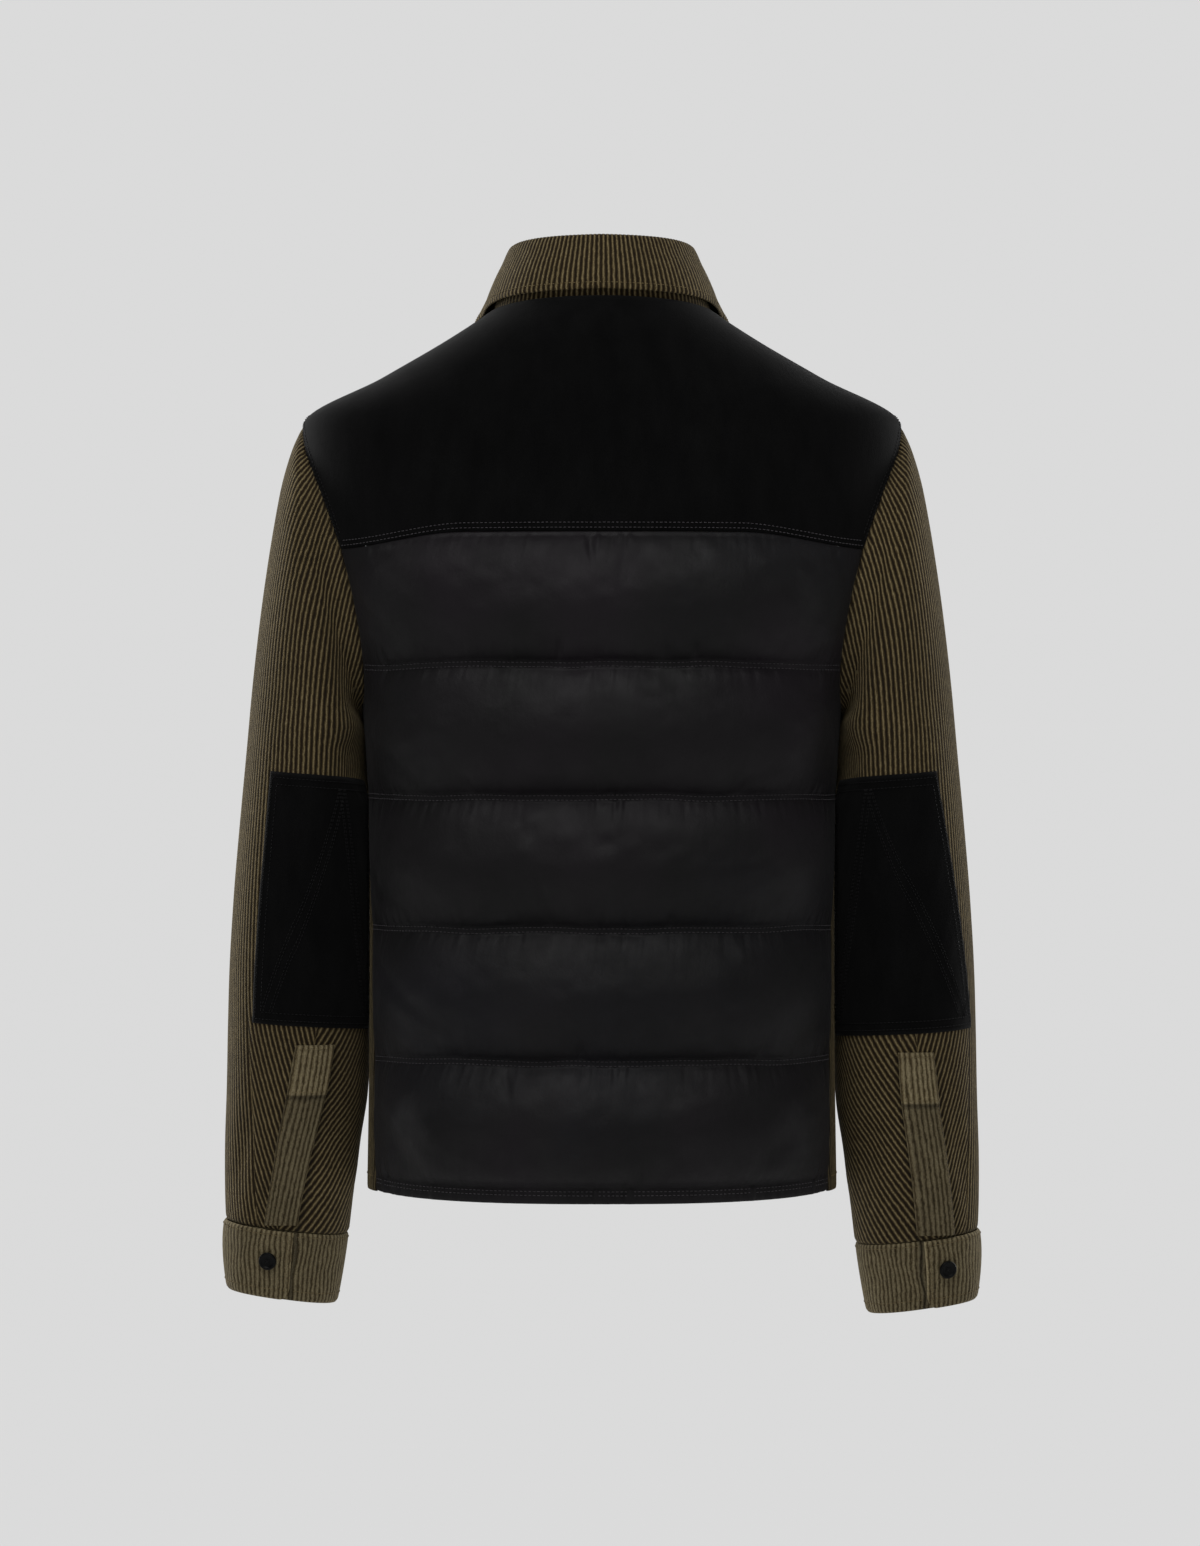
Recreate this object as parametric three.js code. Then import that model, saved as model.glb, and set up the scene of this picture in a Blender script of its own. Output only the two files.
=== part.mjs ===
// A shirt-cut down jacket, filled out as if worn: suede yoke and elbow patches, a down-quilted
// nylon back, and corduroy fronts, sleeves, cuffs and collar.
// Millimetres. +Z is up, the front faces -Y and the wearer's left is +X.
// The origin is the middle of the neck opening, level with the top of the shoulders.
import * as THREE from "three";

// Driving sizes
const SEAM_GAP = 0.3; // between two pieces at a seam
const CORDUROY = 2.0; // thickness of the corduroy cloth
const SUEDE = 2.2; // thickness of the yoke
const PATCH = 1.4; // thickness of an elbow patch
const NYLON_SEAM = 3.0; // thickness of the quilted back where it is stitched down
const BAFFLE_LOFT = 19; // how far the down lifts the middle of a baffle above its seams
const SQUARENESS = 2.3; // superellipse exponent of the torso's level sections
const DEGREE = Math.PI / 180;

// Torso, inside of the cloth: half width, and depth to the back and to the front, at each height
const TORSO = [
  { z: -700, half: 181, back: 118, front: 117 },
  { z: -560, half: 179, back: 115, front: 114 },
  { z: -450, half: 178.5, back: 116, front: 114 },
  { z: -350, half: 180, back: 119, front: 115 },
  { z: -305, half: 183.5, back: 121, front: 115 },
  { z: -268, half: 198, back: 122, front: 113.5 },
  { z: -222, half: 213.5, back: 122.5, front: 110 },
  { z: -175, half: 223, back: 121, front: 103 },
  { z: -130, half: 229.5, back: 117, front: 94 },
  { z: -105, half: 232.5, back: 114, front: 87 },
  { z: -85, half: 231, back: 111, front: 80 },
  { z: -50, half: 170.5, back: 103, front: 73 },
  { z: -20, half: 119, back: 91, front: 68 },
  { z: 3, half: 84.5, back: 74, front: 63 },
  { z: 14, half: 71, back: 63, front: 58 },
];

// Heights of the back's seams
const YOKE_SEAM = -173; // at the centre back
const YOKE_SEAM_ARM = 84; // and where it meets the armhole, in degrees round that loop
const BAFFLES = 5;
const BAFFLE_PITCH = 100.6;
const HEM_STITCH = -671;
const BACK_HEM = -681.5;
const FRONT_HEM = -680;
const HEM_RISE = 4; // the hem is this much higher at the side seams

// Armhole: a loop round the shoulder, 0 degrees at the shoulder point and 180 under the arm
const ARMHOLE_MIDDLE = -195;
const ARMHOLE_HALF = 110;
const ARMHOLE_BACK = 18.2; // degrees of azimuth that the back edge comes in by
const ARMHOLE_FRONT = 20.5; // the same for the front edge, which is cut deeper
const ARMHOLE_LOW = 0.4; // how much more of that is in the loop's lower half

// Side seam: under the arm it is at 90 degrees, and it swings to the back below
const UNDERARM = ARMHOLE_MIDDLE - ARMHOLE_HALF;
const SIDE_SEAM_BEND = -480; // the height down to which it swings faster
const SIDE_SEAM_AT_BEND = 80.5;
const SIDE_SEAM_AT_HEM = 76;

// Neckline, its height at the shoulder, and how much higher and lower it is behind and in front
const NECK_SIDE = 3;
const NECK_BACK_RISE = 7;
const NECK_FRONT_DROP = 56;
const SHOULDER_SEAM_NECK = 110; // azimuth where the yoke's front edge meets the neckline
const SHOULDER_SEAM_ARM = -36; // where it meets the armhole, in degrees round that loop

// Fronts and their placket
const PLACKET_HALF = 17;
const CENTRE_EDGE = 12; // where the two fronts meet, hidden under the placket
const PLACKET_THICK = 1.8;
const FRONT_BUTTONS = 6;
const BUTTON_RADIUS = 7;
const BUTTON_THICK = 3;

// Collar stand and the leaf that folds down over it, by azimuth from the centre back
const COLLAR = [
  { azimuth: 0, fold: 55.4, edge: 15.6, spread: 0 },
  { azimuth: 45, fold: 54.4, edge: 13.2, spread: 0 },
  { azimuth: 90, fold: 50, edge: 4.5, spread: 0 },
  { azimuth: 115, fold: 32, edge: -18, spread: -1 },
  { azimuth: 140, fold: 5, edge: -52, spread: -8 },
  { azimuth: 168, fold: -24, edge: -92, spread: -18 },
];
const FOLD_HALF_WIDTH = 67.5;
const FOLD_BACK = 56;
const FOLD_FRONT = 58;
const STAND_END = 172;
const LEAF = 2.4; // thickness of the folded leaf
const LEAF_CLEAR = 2; // between the leaf's edge and what it hangs over
const LEAF_OUTSIDE = 5; // how far outside the neckline the leaf passes
const LEAF_BOW = 1.6; // how far it bows out on its way down

// Left sleeve, inside of the cloth: each ring runs from its outer point to its inner point
const SLEEVE = [
  { outerX: 239, outerZ: -103, innerX: 188, innerZ: -301.5, back: 64, front: -68 },
  { outerX: 246, outerZ: -126, innerX: 191.5, innerZ: -307, back: 68, front: -71 },
  { outerX: 251, outerZ: -150, innerX: 191.5, innerZ: -317, back: 70, front: -72 },
  { outerX: 257.5, outerZ: -188, innerX: 189, innerZ: -330, back: 70, front: -74 },
  { outerX: 264, outerZ: -232, innerX: 187.2, innerZ: -348, back: 67, front: -77 },
  { outerX: 270.5, outerZ: -285, innerX: 185.9, innerZ: -372, back: 62, front: -81 },
  { outerX: 276, outerZ: -340, innerX: 185.8, innerZ: -402, back: 56, front: -86 },
  { outerX: 281.5, outerZ: -395, innerX: 185.4, innerZ: -438, back: 51, front: -89 },
  { outerX: 286.5, outerZ: -450, innerX: 185.4, innerZ: -478, back: 46, front: -91 },
  { outerX: 290, outerZ: -505, innerX: 185.4, innerZ: -521, back: 42, front: -91 },
  { outerX: 291.5, outerZ: -555, innerX: 185.6, innerZ: -563, back: 38, front: -89 },
  { outerX: 292.5, outerZ: -603, innerX: 186.6, innerZ: -605, back: 34, front: -85 },
  { outerX: 293.8, outerZ: -645, innerX: 193, innerZ: -646, back: 30, front: -79 },
  { outerX: 293.8, outerZ: -680, innerX: 198, innerZ: -685, back: 27, front: -74 },
  { outerX: 293, outerZ: -705, innerX: 201.5, innerZ: -716, back: 23, front: -68 },
];
const SLEEVE_SQUARENESS = 2.25;
const ARM_STEP = 12; // degrees round the arm between the sleeve's points, and the armhole's
const DROP_FROM = -330; // heights between which the right sleeve comes to hang lower
const DROP_TO = -700;

// How the two arms differ: the drop in millimetres, the rest in degrees round the arm, with the
// patch's outer edge and the placket's middle each at the top and at the bottom
const ARMS = [
  { name: "left", side: 1, drop: 0, patch: [62.5, 57], slit: [106, 87.5], lap: 98, button: 80.5 },
  { name: "right", side: -1, drop: 8, patch: [59, 30], slit: [86, 75.5], lap: 88, button: 70 },
];

// Soft folds in a sleeve: where each one is round the arm, its height, its sizes and its slant
const SLEEVE_FOLDS = [
  { around: 150, z: -352, depth: -4.5, wide: 26, long: 20, slant: 0.25 },
  { around: 118, z: -322, depth: 2.5, wide: 30, long: 14, slant: 0.2 },
  { around: 200, z: -392, depth: -4, wide: 30, long: 16, slant: -0.2 },
  { around: 292, z: -470, depth: -6, wide: 34, long: 13, slant: 0.3 },
  { around: 268, z: -505, depth: -5, wide: 32, long: 12, slant: -0.25 },
  { around: 130, z: -640, depth: -3.5, wide: 16, long: 30, slant: -0.3 },
  { around: 48, z: -650, depth: -2.5, wide: 14, long: 36, slant: 0.2 },
  { around: 230, z: -655, depth: -3.5, wide: 18, long: 30, slant: 0.2 },
];

// Elbow patch and sleeve placket, by height
const PATCH_TOP = -354;
const PATCH_BOTTOM = -549;
const PATCH_INNER = 168; // degrees round the arm of its edge by the body
const PATCH_SLANT = 7; // how much lower its upper and lower edges are there
const SLIT_TOP = -566;
const SLIT_BOX = -604;
const SLIT_BOTTOM = -706;
const SLIT_HALF = 14; // half of the placket's width
const SLIT_THICK = 1.6;
const SLIT_BOX_THICK = 2.4; // where its top is boxed in

// Cuff, inside of the cloth, and the lap that closes it
const CUFF = [
  { outerX: 293, outerZ: -705, innerX: 201.5, innerZ: -716, back: 23, front: -68 },
  { outerX: 294.5, outerZ: -729, innerX: 205, innerZ: -741, back: 18, front: -65 },
  { outerX: 291.5, outerZ: -759, innerX: 210.5, innerZ: -771, back: 13, front: -62 },
];
const CUFF_LAP = 34; // degrees that its lower layer goes on beneath the upper one
const CUFF_CORNER = 9; // degrees over which the upper layer's lower corner is rounded
const CUFF_CORNER_RISE = 8;

const CORDUROY_LOOK = new THREE.MeshStandardMaterial({ color: 0x4b4030, roughness: 0.95 });
const SUEDE_LOOK = new THREE.MeshStandardMaterial({ color: 0x0e0e0e, roughness: 0.95 });
const NYLON_LOOK = new THREE.MeshStandardMaterial({ color: 0x1d1b1d, roughness: 0.5 });
const BUTTON_LOOK = new THREE.MeshStandardMaterial({ color: 0x0c0c0d, roughness: 0.35 });

const jacket = new THREE.Group();

function add(name, geometry, look) {
  const mesh = new THREE.Mesh(geometry, look);
  mesh.name = name;
  jacket.add(mesh);
}

// Reads a table smoothly between its rows, without overshoot. The column "along" has to ascend.
function reader(rows, along) {
  const columns = Object.keys(rows[0]).filter((key) => key !== along);
  const at = rows.map((row) => row[along]);
  const slopes = {};
  for (const key of columns) {
    const steps = at.slice(1).map((x, i) => (rows[i + 1][key] - rows[i][key]) / (x - at[i]));
    slopes[key] = at.map((_, i) => {
      if (i === 0) return steps[0];
      if (i === at.length - 1) return steps[i - 1];
      const [before, after] = [steps[i - 1], steps[i]];
      return before * after > 0 ? (2 * before * after) / (before + after) : 0;
    });
  }
  return (x) => {
    let i = 0;
    while (i < at.length - 2 && x > at[i + 1]) i++;
    const width = at[i + 1] - at[i];
    const t = (x - at[i]) / width;
    const row = {};
    for (const key of columns) {
      const [from, to] = [rows[i][key], rows[i + 1][key]];
      if (t < 0) row[key] = from + slopes[key][i] * width * t;
      else if (t > 1) row[key] = to + slopes[key][i + 1] * width * (t - 1);
      else
        row[key] =
          from * (1 + 2 * t) * (1 - t) ** 2 +
          slopes[key][i] * width * t * (1 - t) ** 2 +
          to * t * t * (3 - 2 * t) +
          slopes[key][i + 1] * width * t * t * (t - 1);
    }
    return row;
  };
}

const torsoSize = reader(TORSO, "z");
const collarSize = reader(COLLAR, "azimuth");

function mix(from, to, share) {
  return from + (to - from) * share;
}

function smooth(share) {
  const t = Math.min(1, Math.max(0, share));
  return t * t * (3 - 2 * t);
}

function power(value, exponent) {
  return Math.sign(value) * Math.abs(value) ** exponent;
}

// A point of the torso's inside, at an azimuth from the centre back towards the wearer's left
function torso(azimuth, z) {
  const { half, back, front } = torsoSize(z);
  const [s, c] = [Math.sin(azimuth * DEGREE), Math.cos(azimuth * DEGREE)];
  const depth = c > 0 ? back : front;
  const across = Math.abs(s / half) ** SQUARENESS + Math.abs(c / depth) ** SQUARENESS;
  const radius = across ** (-1 / SQUARENESS);
  return new THREE.Vector3(radius * s, radius * c, z);
}

// The unit normal of a surface of two parameters, from points a small step either side
function normalOf(surface, u, v, stepU, stepV) {
  const alongU = surface(u + stepU, v).sub(surface(u - stepU, v));
  const alongV = surface(u, v + stepV).sub(surface(u, v - stepV));
  return alongU.cross(alongV).normalize();
}

function torsoNormal(azimuth, z) {
  return normalOf(torso, azimuth, z, 0.6, 1).multiplyScalar(-1);
}

function neckHeight(azimuth) {
  const [s, c] = [Math.sin(azimuth * DEGREE), Math.cos(azimuth * DEGREE)];
  return NECK_SIDE + NECK_BACK_RISE * c - (c < 0 ? NECK_FRONT_DROP * (1 - Math.abs(s)) : 0);
}

// The armhole's azimuth and height at an angle round its loop: 0 to 180 is the back edge
function armhole(around) {
  const [s, c] = [Math.sin(around * DEGREE), Math.cos(around * DEGREE)];
  const shape = Math.abs(s) * (1 - ARMHOLE_LOW * c);
  const azimuth = s > 0 ? 90 - ARMHOLE_BACK * shape : 90 + ARMHOLE_FRONT * shape;
  return { azimuth, z: ARMHOLE_MIDDLE + ARMHOLE_HALF * c };
}

// The angle round the armhole at a height, on its back edge
function armholeAngle(z) {
  const c = (z - ARMHOLE_MIDDLE) / ARMHOLE_HALF;
  return Math.acos(Math.min(1, Math.max(-1, c))) / DEGREE;
}

function sideSeam(z) {
  if (z > SIDE_SEAM_BEND)
    return mix(90, SIDE_SEAM_AT_BEND, (UNDERARM - z) / (UNDERARM - SIDE_SEAM_BEND));
  const down = (SIDE_SEAM_BEND - z) / (SIDE_SEAM_BEND - FRONT_HEM);
  return mix(SIDE_SEAM_AT_BEND, SIDE_SEAM_AT_HEM, down);
}

// Azimuth of the back panel's and the fronts' edge at a height
function backEdge(z) {
  return z > UNDERARM ? armhole(armholeAngle(z)).azimuth : sideSeam(z);
}

const shoulderSeamArm = armhole(SHOULDER_SEAM_ARM);
const shoulderSeamNeck = neckHeight(SHOULDER_SEAM_NECK) - 4;

// Azimuth of the yoke's front edge at a height between the armhole and the neckline
function shoulderSeam(z) {
  const share = (z - shoulderSeamArm.z) / (shoulderSeamNeck - shoulderSeamArm.z);
  return mix(shoulderSeamArm.azimuth, SHOULDER_SEAM_NECK, share);
}

function frontEdge(z) {
  if (z > shoulderSeamArm.z) return shoulderSeam(z);
  return z > UNDERARM ? armhole(-armholeAngle(z)).azimuth : sideSeam(z);
}

function yokeSeam(share) {
  return mix(YOKE_SEAM, armhole(YOKE_SEAM_ARM).z, smooth((Math.abs(share) - 0.6) / 0.4));
}

function hemHeight(lowest, azimuth) {
  return lowest + HEM_RISE * Math.sin(azimuth * DEGREE) ** 4;
}

// Whether a square of the grid is better cut from its first corner to the opposite one
function cutsFromFirst(first, beside, opposite, below) {
  return first.distanceTo(opposite) <= beside.distanceTo(below);
}

// A closed wall of cloth between two grids of points, rows by columns. A tube's columns wrap.
function wall(outer, inner, wraps = false) {
  const rows = outer.length;
  const columns = outer[0].length;
  const points = [...outer.flat(), ...inner.flat()];
  const faces = [];
  const index = (layer, i, j) => layer * rows * columns + i * columns + (j % columns);
  const quad = (a, b, c, d) => faces.push(a, b, c, a, c, d);
  const last = wraps ? columns : columns - 1;
  for (let i = 0; i < rows - 1; i++)
    for (let j = 0; j < last; j++) {
      const square = (layer) => [
        index(layer, i, j),
        index(layer, i, j + 1),
        index(layer, i + 1, j + 1),
        index(layer, i + 1, j),
      ];
      const [[a, b, c, d], [e, f, g, h]] = [square(0), square(1)];
      const direct = cutsFromFirst(points[e], points[f], points[g], points[h]);
      quad(...(direct ? [a, b, c, d] : [b, c, d, a]));
      quad(...(direct ? [g, f, e, h] : [h, g, f, e]));
    }
  for (let j = 0; j < last; j++) {
    quad(index(0, 0, j), index(1, 0, j), index(1, 0, j + 1), index(0, 0, j + 1));
    const i = rows - 1;
    quad(index(0, i, j), index(0, i, j + 1), index(1, i, j + 1), index(1, i, j));
  }
  if (!wraps)
    for (let i = 0; i < rows - 1; i++) {
      quad(index(0, i, 0), index(0, i + 1, 0), index(1, i + 1, 0), index(1, i, 0));
      const j = columns - 1;
      quad(index(0, i, j), index(1, i, j), index(1, i + 1, j), index(0, i + 1, j));
    }
  let volume = 0;
  for (let f = 0; f < faces.length; f += 3) {
    const [a, b, c] = [points[faces[f]], points[faces[f + 1]], points[faces[f + 2]]];
    volume += a.dot(b.clone().cross(c));
  }
  if (volume < 0)
    for (let f = 0; f < faces.length; f += 3)
      [faces[f + 1], faces[f + 2]] = [faces[f + 2], faces[f + 1]];
  const geometry = new THREE.BufferGeometry().setFromPoints(points);
  geometry.setIndex(faces);
  geometry.computeVertexNormals();
  return geometry;
}

// A wall from a grid of {point, normal, low, high}: cloth from "low" to "high" above the point
function cloth(rows, columns, at, wraps = false) {
  const [outer, inner] = [[], []];
  for (let i = 0; i < rows; i++) {
    const line = Array.from({ length: columns }, (_, j) => at(i, j));
    outer.push(line.map((s) => s.point.clone().addScaledVector(s.normal, s.high)));
    inner.push(line.map((s) => s.point.clone().addScaledVector(s.normal, s.low)));
  }
  return wall(outer, inner, wraps);
}

function onTorso(azimuth, z, low, high) {
  return { point: torso(azimuth, z), normal: torsoNormal(azimuth, z), low, high };
}

// Where the columns of the yoke and of the quilted back stand, from one armhole to the other
const BACK_SHARES = [];
for (let i = -9; i <= 9; i++) BACK_SHARES.push(power(i / 9, 0.85));

// The suede yoke: each column runs down from the neckline or over the shoulder
function yoke() {
  const corner = armhole(YOKE_SEAM_ARM);
  const bottoms = BACK_SHARES.map((share) => ({ azimuth: corner.azimuth * share, z: yokeSeam(share) }));
  const sides = [];
  for (let around = YOKE_SEAM_ARM - ARM_STEP; around >= SHOULDER_SEAM_ARM; around -= ARM_STEP)
    sides.push(armhole(around));
  for (let i = 1; i <= 4; i++) {
    const z = mix(shoulderSeamArm.z, shoulderSeamNeck, i / 4);
    sides.push({ azimuth: shoulderSeam(z), z });
  }
  for (const { azimuth, z } of sides) {
    bottoms.push({ azimuth, z });
    bottoms.unshift({ azimuth: -azimuth, z });
  }
  const rows = 9;
  return cloth(rows, bottoms.length, (i, j) => {
    const { azimuth, z } = bottoms[j];
    return onTorso(azimuth, mix(neckHeight(Math.abs(azimuth)), z, i / (rows - 1)), 0, SUEDE);
  });
}

// How far the down lifts the cloth: "up" runs 0 to 1 through a baffle, "across" -1 to 1
function loft(up, across, azimuth) {
  const ends = (1 - Math.abs(across) ** 12) * smooth((86 - Math.abs(azimuth)) / 36);
  return BAFFLE_LOFT * Math.sin(Math.PI * up) ** 0.62 * (0.06 + 0.94 * ends);
}

// The quilted back: five baffles and a flat hem, raised outside and plain inside
function quiltedBack() {
  const steps = [0, 0.06, 0.2, 0.4, 0.6, 0.8, 0.94];
  const rows = [];
  for (let baffle = 0; baffle < BAFFLES; baffle++)
    for (const up of steps) rows.push({ baffle, up });
  rows.push({ baffle: BAFFLES, up: 0 }, { baffle: BAFFLES, up: 1 });
  return cloth(rows.length, BACK_SHARES.length, (i, j) => {
    const across = BACK_SHARES[j];
    const { baffle, up } = rows[i];
    const line = (n) => {
      if (n === 0) return yokeSeam(across) - SEAM_GAP;
      if (n === BAFFLES) return HEM_STITCH + HEM_RISE * Math.abs(across) ** 4;
      return YOKE_SEAM - BAFFLE_PITCH * n;
    };
    const hem = BACK_HEM + HEM_RISE * Math.abs(across) ** 4;
    const z = baffle < BAFFLES ? mix(line(baffle), line(baffle + 1), up) : mix(line(baffle), hem, up);
    const azimuth = across * backEdge(z);
    const lift = baffle < BAFFLES ? loft(up, across, azimuth) : 0;
    return onTorso(azimuth, z, 0, NYLON_SEAM + lift);
  });
}

// The azimuth in front at which the torso is "x" to the wearer's left, at a height
function frontAzimuth(x, z) {
  return 180 - Math.asin(x / torsoSize(z).front) / DEGREE;
}

// The neckline's azimuth at a height, on the front
function neckAzimuth(z) {
  let [high, low] = [90, 180];
  for (let n = 0; n < 40; n++) {
    const half = (high + low) / 2;
    if (neckHeight(half) > z) high = half;
    else low = half;
  }
  return high;
}

// Where the columns of the collar stand are, and with them the points of the fronts' neckline
const STAND_AZIMUTHS = [];
for (let i = -20; i <= 20; i++) STAND_AZIMUTHS.push((STAND_END * i) / 20);

// Where the rows of the fronts are, from the hem up
function frontHeights() {
  const top = shoulderSeamNeck - SEAM_GAP;
  const heights = [FRONT_HEM];
  for (let i = 1; i <= 4; i++) heights.push(mix(FRONT_HEM, SIDE_SEAM_BEND, i / 4));
  for (let i = 1; i <= 4; i++) heights.push(mix(SIDE_SEAM_BEND, UNDERARM, i / 4));
  for (let around = 180 - ARM_STEP; around > -SHOULDER_SEAM_ARM; around -= ARM_STEP)
    heights.push(armhole(around).z);
  heights.push(shoulderSeamArm.z, mix(shoulderSeamArm.z, shoulderSeamNeck, 0.25), neckHeight(180));
  for (const azimuth of STAND_AZIMUTHS)
    if (azimuth > 0 && neckHeight(azimuth) < top - 2) heights.push(neckHeight(azimuth));
  heights.push(top);
  return heights.sort((a, b) => a - b);
}

// A corduroy front: side is 1 for the wearer's left and -1 for the right, which laps past the middle
function front(side) {
  const edgeX = side > 0 ? CENTRE_EDGE : SEAM_GAP - CENTRE_EDGE;
  const heights = frontHeights();
  const columns = 10;
  return cloth(heights.length, columns, (i, j) => {
    const z = heights[i];
    const gap = SEAM_GAP / torso(90, z).x / DEGREE + (z > shoulderSeamArm.z - 1 ? 0.2 : 0);
    const from = frontEdge(z) + gap;
    const middle = frontAzimuth(edgeX, z);
    const to = z > neckHeight(180) + 0.01 ? Math.min(middle, neckAzimuth(z)) : middle;
    const azimuth = mix(from, Math.max(to, from + 0.8), j / (columns - 1));
    const placed = onTorso(side * azimuth, z, 0, CORDUROY);
    if (i === 0) placed.point.z = hemHeight(FRONT_HEM, azimuth);
    return placed;
  });
}

// The strip down the middle that covers where the fronts meet
function frontPlacket() {
  const columns = 5;
  const heights = frontHeights().filter((z) => z < neckHeight(180) - 1);
  heights.push(neckHeight(180) - 1);
  const low = CORDUROY + SEAM_GAP;
  return cloth(heights.length, columns, (i, j) => {
    const x = mix(-PLACKET_HALF, PLACKET_HALF, j / (columns - 1));
    return onTorso(frontAzimuth(x, heights[i]), heights[i], low, low + PLACKET_THICK);
  });
}

// The point of the fold line over the collar stand
function foldPoint(azimuth) {
  const [s, c] = [Math.sin(azimuth * DEGREE), Math.cos(azimuth * DEGREE)];
  const radius = 1 / Math.hypot(s / FOLD_HALF_WIDTH, c / (c > 0 ? FOLD_BACK : FOLD_FRONT));
  return new THREE.Vector3(radius * s, radius * c, collarSize(Math.abs(azimuth)).fold);
}

function outwardAt(azimuth) {
  return new THREE.Vector3(Math.sin(azimuth * DEGREE), Math.cos(azimuth * DEGREE), 0);
}

// The band that stands up round the neck
function collarStand() {
  const rows = 4;
  return cloth(rows, STAND_AZIMUTHS.length, (i, j) => {
    const azimuth = STAND_AZIMUTHS[j];
    const base = torso(azimuth, neckHeight(Math.abs(azimuth)) + SEAM_GAP + 0.1);
    const share = i / (rows - 1);
    const point = base.lerp(foldPoint(azimuth), share);
    const normal = torsoNormal(azimuth, neckHeight(Math.abs(azimuth)));
    normal.lerp(outwardAt(azimuth), smooth(share * 1.6)).normalize();
    return { point, normal, low: 0, high: CORDUROY };
  });
}

// How far out the leaf is, at an azimuth and a height, where it rests on the stand or the panels
function leafRadius(azimuth, z) {
  const neck = neckHeight(Math.abs(azimuth));
  const low = Math.min(z, neck);
  const at = torso(azimuth, low);
  const normal = torsoNormal(azimuth, low);
  const onPanel = Math.hypot(at.x, at.y) + (SUEDE + LEAF_CLEAR) / Math.hypot(normal.x, normal.y);
  if (z <= neck) return onPanel;
  const fold = foldPoint(azimuth);
  const share = Math.min(1, (z - neck) / (fold.z - neck));
  return mix(onPanel, Math.hypot(fold.x, fold.y) + CORDUROY + LEAF_CLEAR, share);
}

// The leaf: over the top of the stand and down outside it, to the collar points in front
function collarLeaf() {
  const shares = [0, 0.16, 0.32, 0.52, 0.76, 1];
  const [outer, inner] = [[], []];
  for (let i = 0; i < shares.length + 2; i++) {
    outer.push([]);
    inner.push([]);
  }
  for (const azimuth of STAND_AZIMUTHS.slice(1, -1)) {
    const size = Math.abs(azimuth);
    const { edge, spread } = collarSize(size);
    const fold = foldPoint(azimuth);
    const outward = outwardAt(azimuth);
    const lift = (out, up) => fold.clone().addScaledVector(outward, out).setZ(fold.z + up);
    inner[0].push(lift(0, SEAM_GAP + 0.1));
    outer[0].push(lift(0, SEAM_GAP + LEAF));
    inner[1].push(lift(CORDUROY + 1.4, SEAM_GAP + 0.1));
    outer[1].push(lift(CORDUROY + 2.4, SEAM_GAP + LEAF));
    const turned = Math.sign(azimuth) * (size + spread);
    const neck = torso(turned, neckHeight(size + spread));
    const start = Math.hypot(fold.x, fold.y) + CORDUROY + 1.6;
    const end = Math.max(leafRadius(turned, edge), Math.hypot(neck.x, neck.y) + LEAF_OUTSIDE);
    const onChest = smooth((neck.z - edge) / 25);
    for (const [n, share] of shares.entries()) {
      const at = mix(azimuth, turned, share);
      const z = mix(fold.z - 1.5, edge, share);
      const hanging = mix(start, end, share) + LEAF_BOW * Math.sin(Math.PI * share);
      const point = outwardAt(at).multiplyScalar(Math.max(hanging, leafRadius(at, z))).setZ(z);
      const facing = outwardAt(at).lerp(torsoNormal(turned, edge), onChest * share).normalize();
      inner[n + 2].push(point);
      outer[n + 2].push(point.clone().addScaledVector(facing, LEAF));
    }
  }
  return wall(outer, inner);
}

// A point of a ring of the left sleeve or cuff, 0 degrees outside, 90 behind, 180 by the body
function ringPoint(ring, around) {
  const c = power(Math.cos(around * DEGREE), 2 / SLEEVE_SQUARENESS);
  const s = power(Math.sin(around * DEGREE), 2 / SLEEVE_SQUARENESS);
  return new THREE.Vector3(
    (ring.outerX + ring.innerX) / 2 + ((ring.outerX - ring.innerX) / 2) * c,
    (ring.back + ring.front) / 2 + ((ring.back - ring.front) / 2) * s,
    (ring.outerZ + ring.innerZ) / 2 + ((ring.outerZ - ring.innerZ) / 2) * c,
  );
}

// The armhole's own ring, moved off the body's panels by the seam's gap
function armholeRing(around) {
  const at = (angle) => {
    const { azimuth, z } = armhole(angle);
    return torso(azimuth, z);
  };
  const along = at(around + 1.5).sub(at(around - 1.5)).normalize();
  const { azimuth, z } = armhole(around);
  const normal = torsoNormal(azimuth, z);
  const away = along.cross(normal).normalize();
  return { point: torso(azimuth, z).addScaledVector(away, 2 * SEAM_GAP), normal };
}

// A point of the left sleeve's inside: "along" counts rings down from the armhole
function sleeve(around, along) {
  const ring = (n) => {
    if (n <= 0) return armholeRing(around).point;
    return ringPoint(SLEEVE[Math.min(n, SLEEVE.length) - 1], around);
  };
  const n = Math.min(Math.floor(along), SLEEVE.length - 1);
  const t = along - n;
  const [a, b, c, d] = [ring(n - 1), ring(n), ring(n + 1), ring(n + 2)];
  const point = b.clone().multiplyScalar(2);
  point.addScaledVector(c.clone().sub(a), t);
  const second = a.clone().multiplyScalar(2).addScaledVector(b, -5).addScaledVector(c, 4).sub(d);
  const third = b.clone().sub(c).multiplyScalar(3).add(d).sub(a);
  point.addScaledVector(second, t * t).addScaledVector(third, t ** 3);
  return point.multiplyScalar(0.5);
}

function sleeveNormal(around, along) {
  const step = Math.min(0.2, along);
  return normalOf(sleeve, around, along, 2, Math.max(step, 0.02)).multiplyScalar(-1);
}

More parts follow.
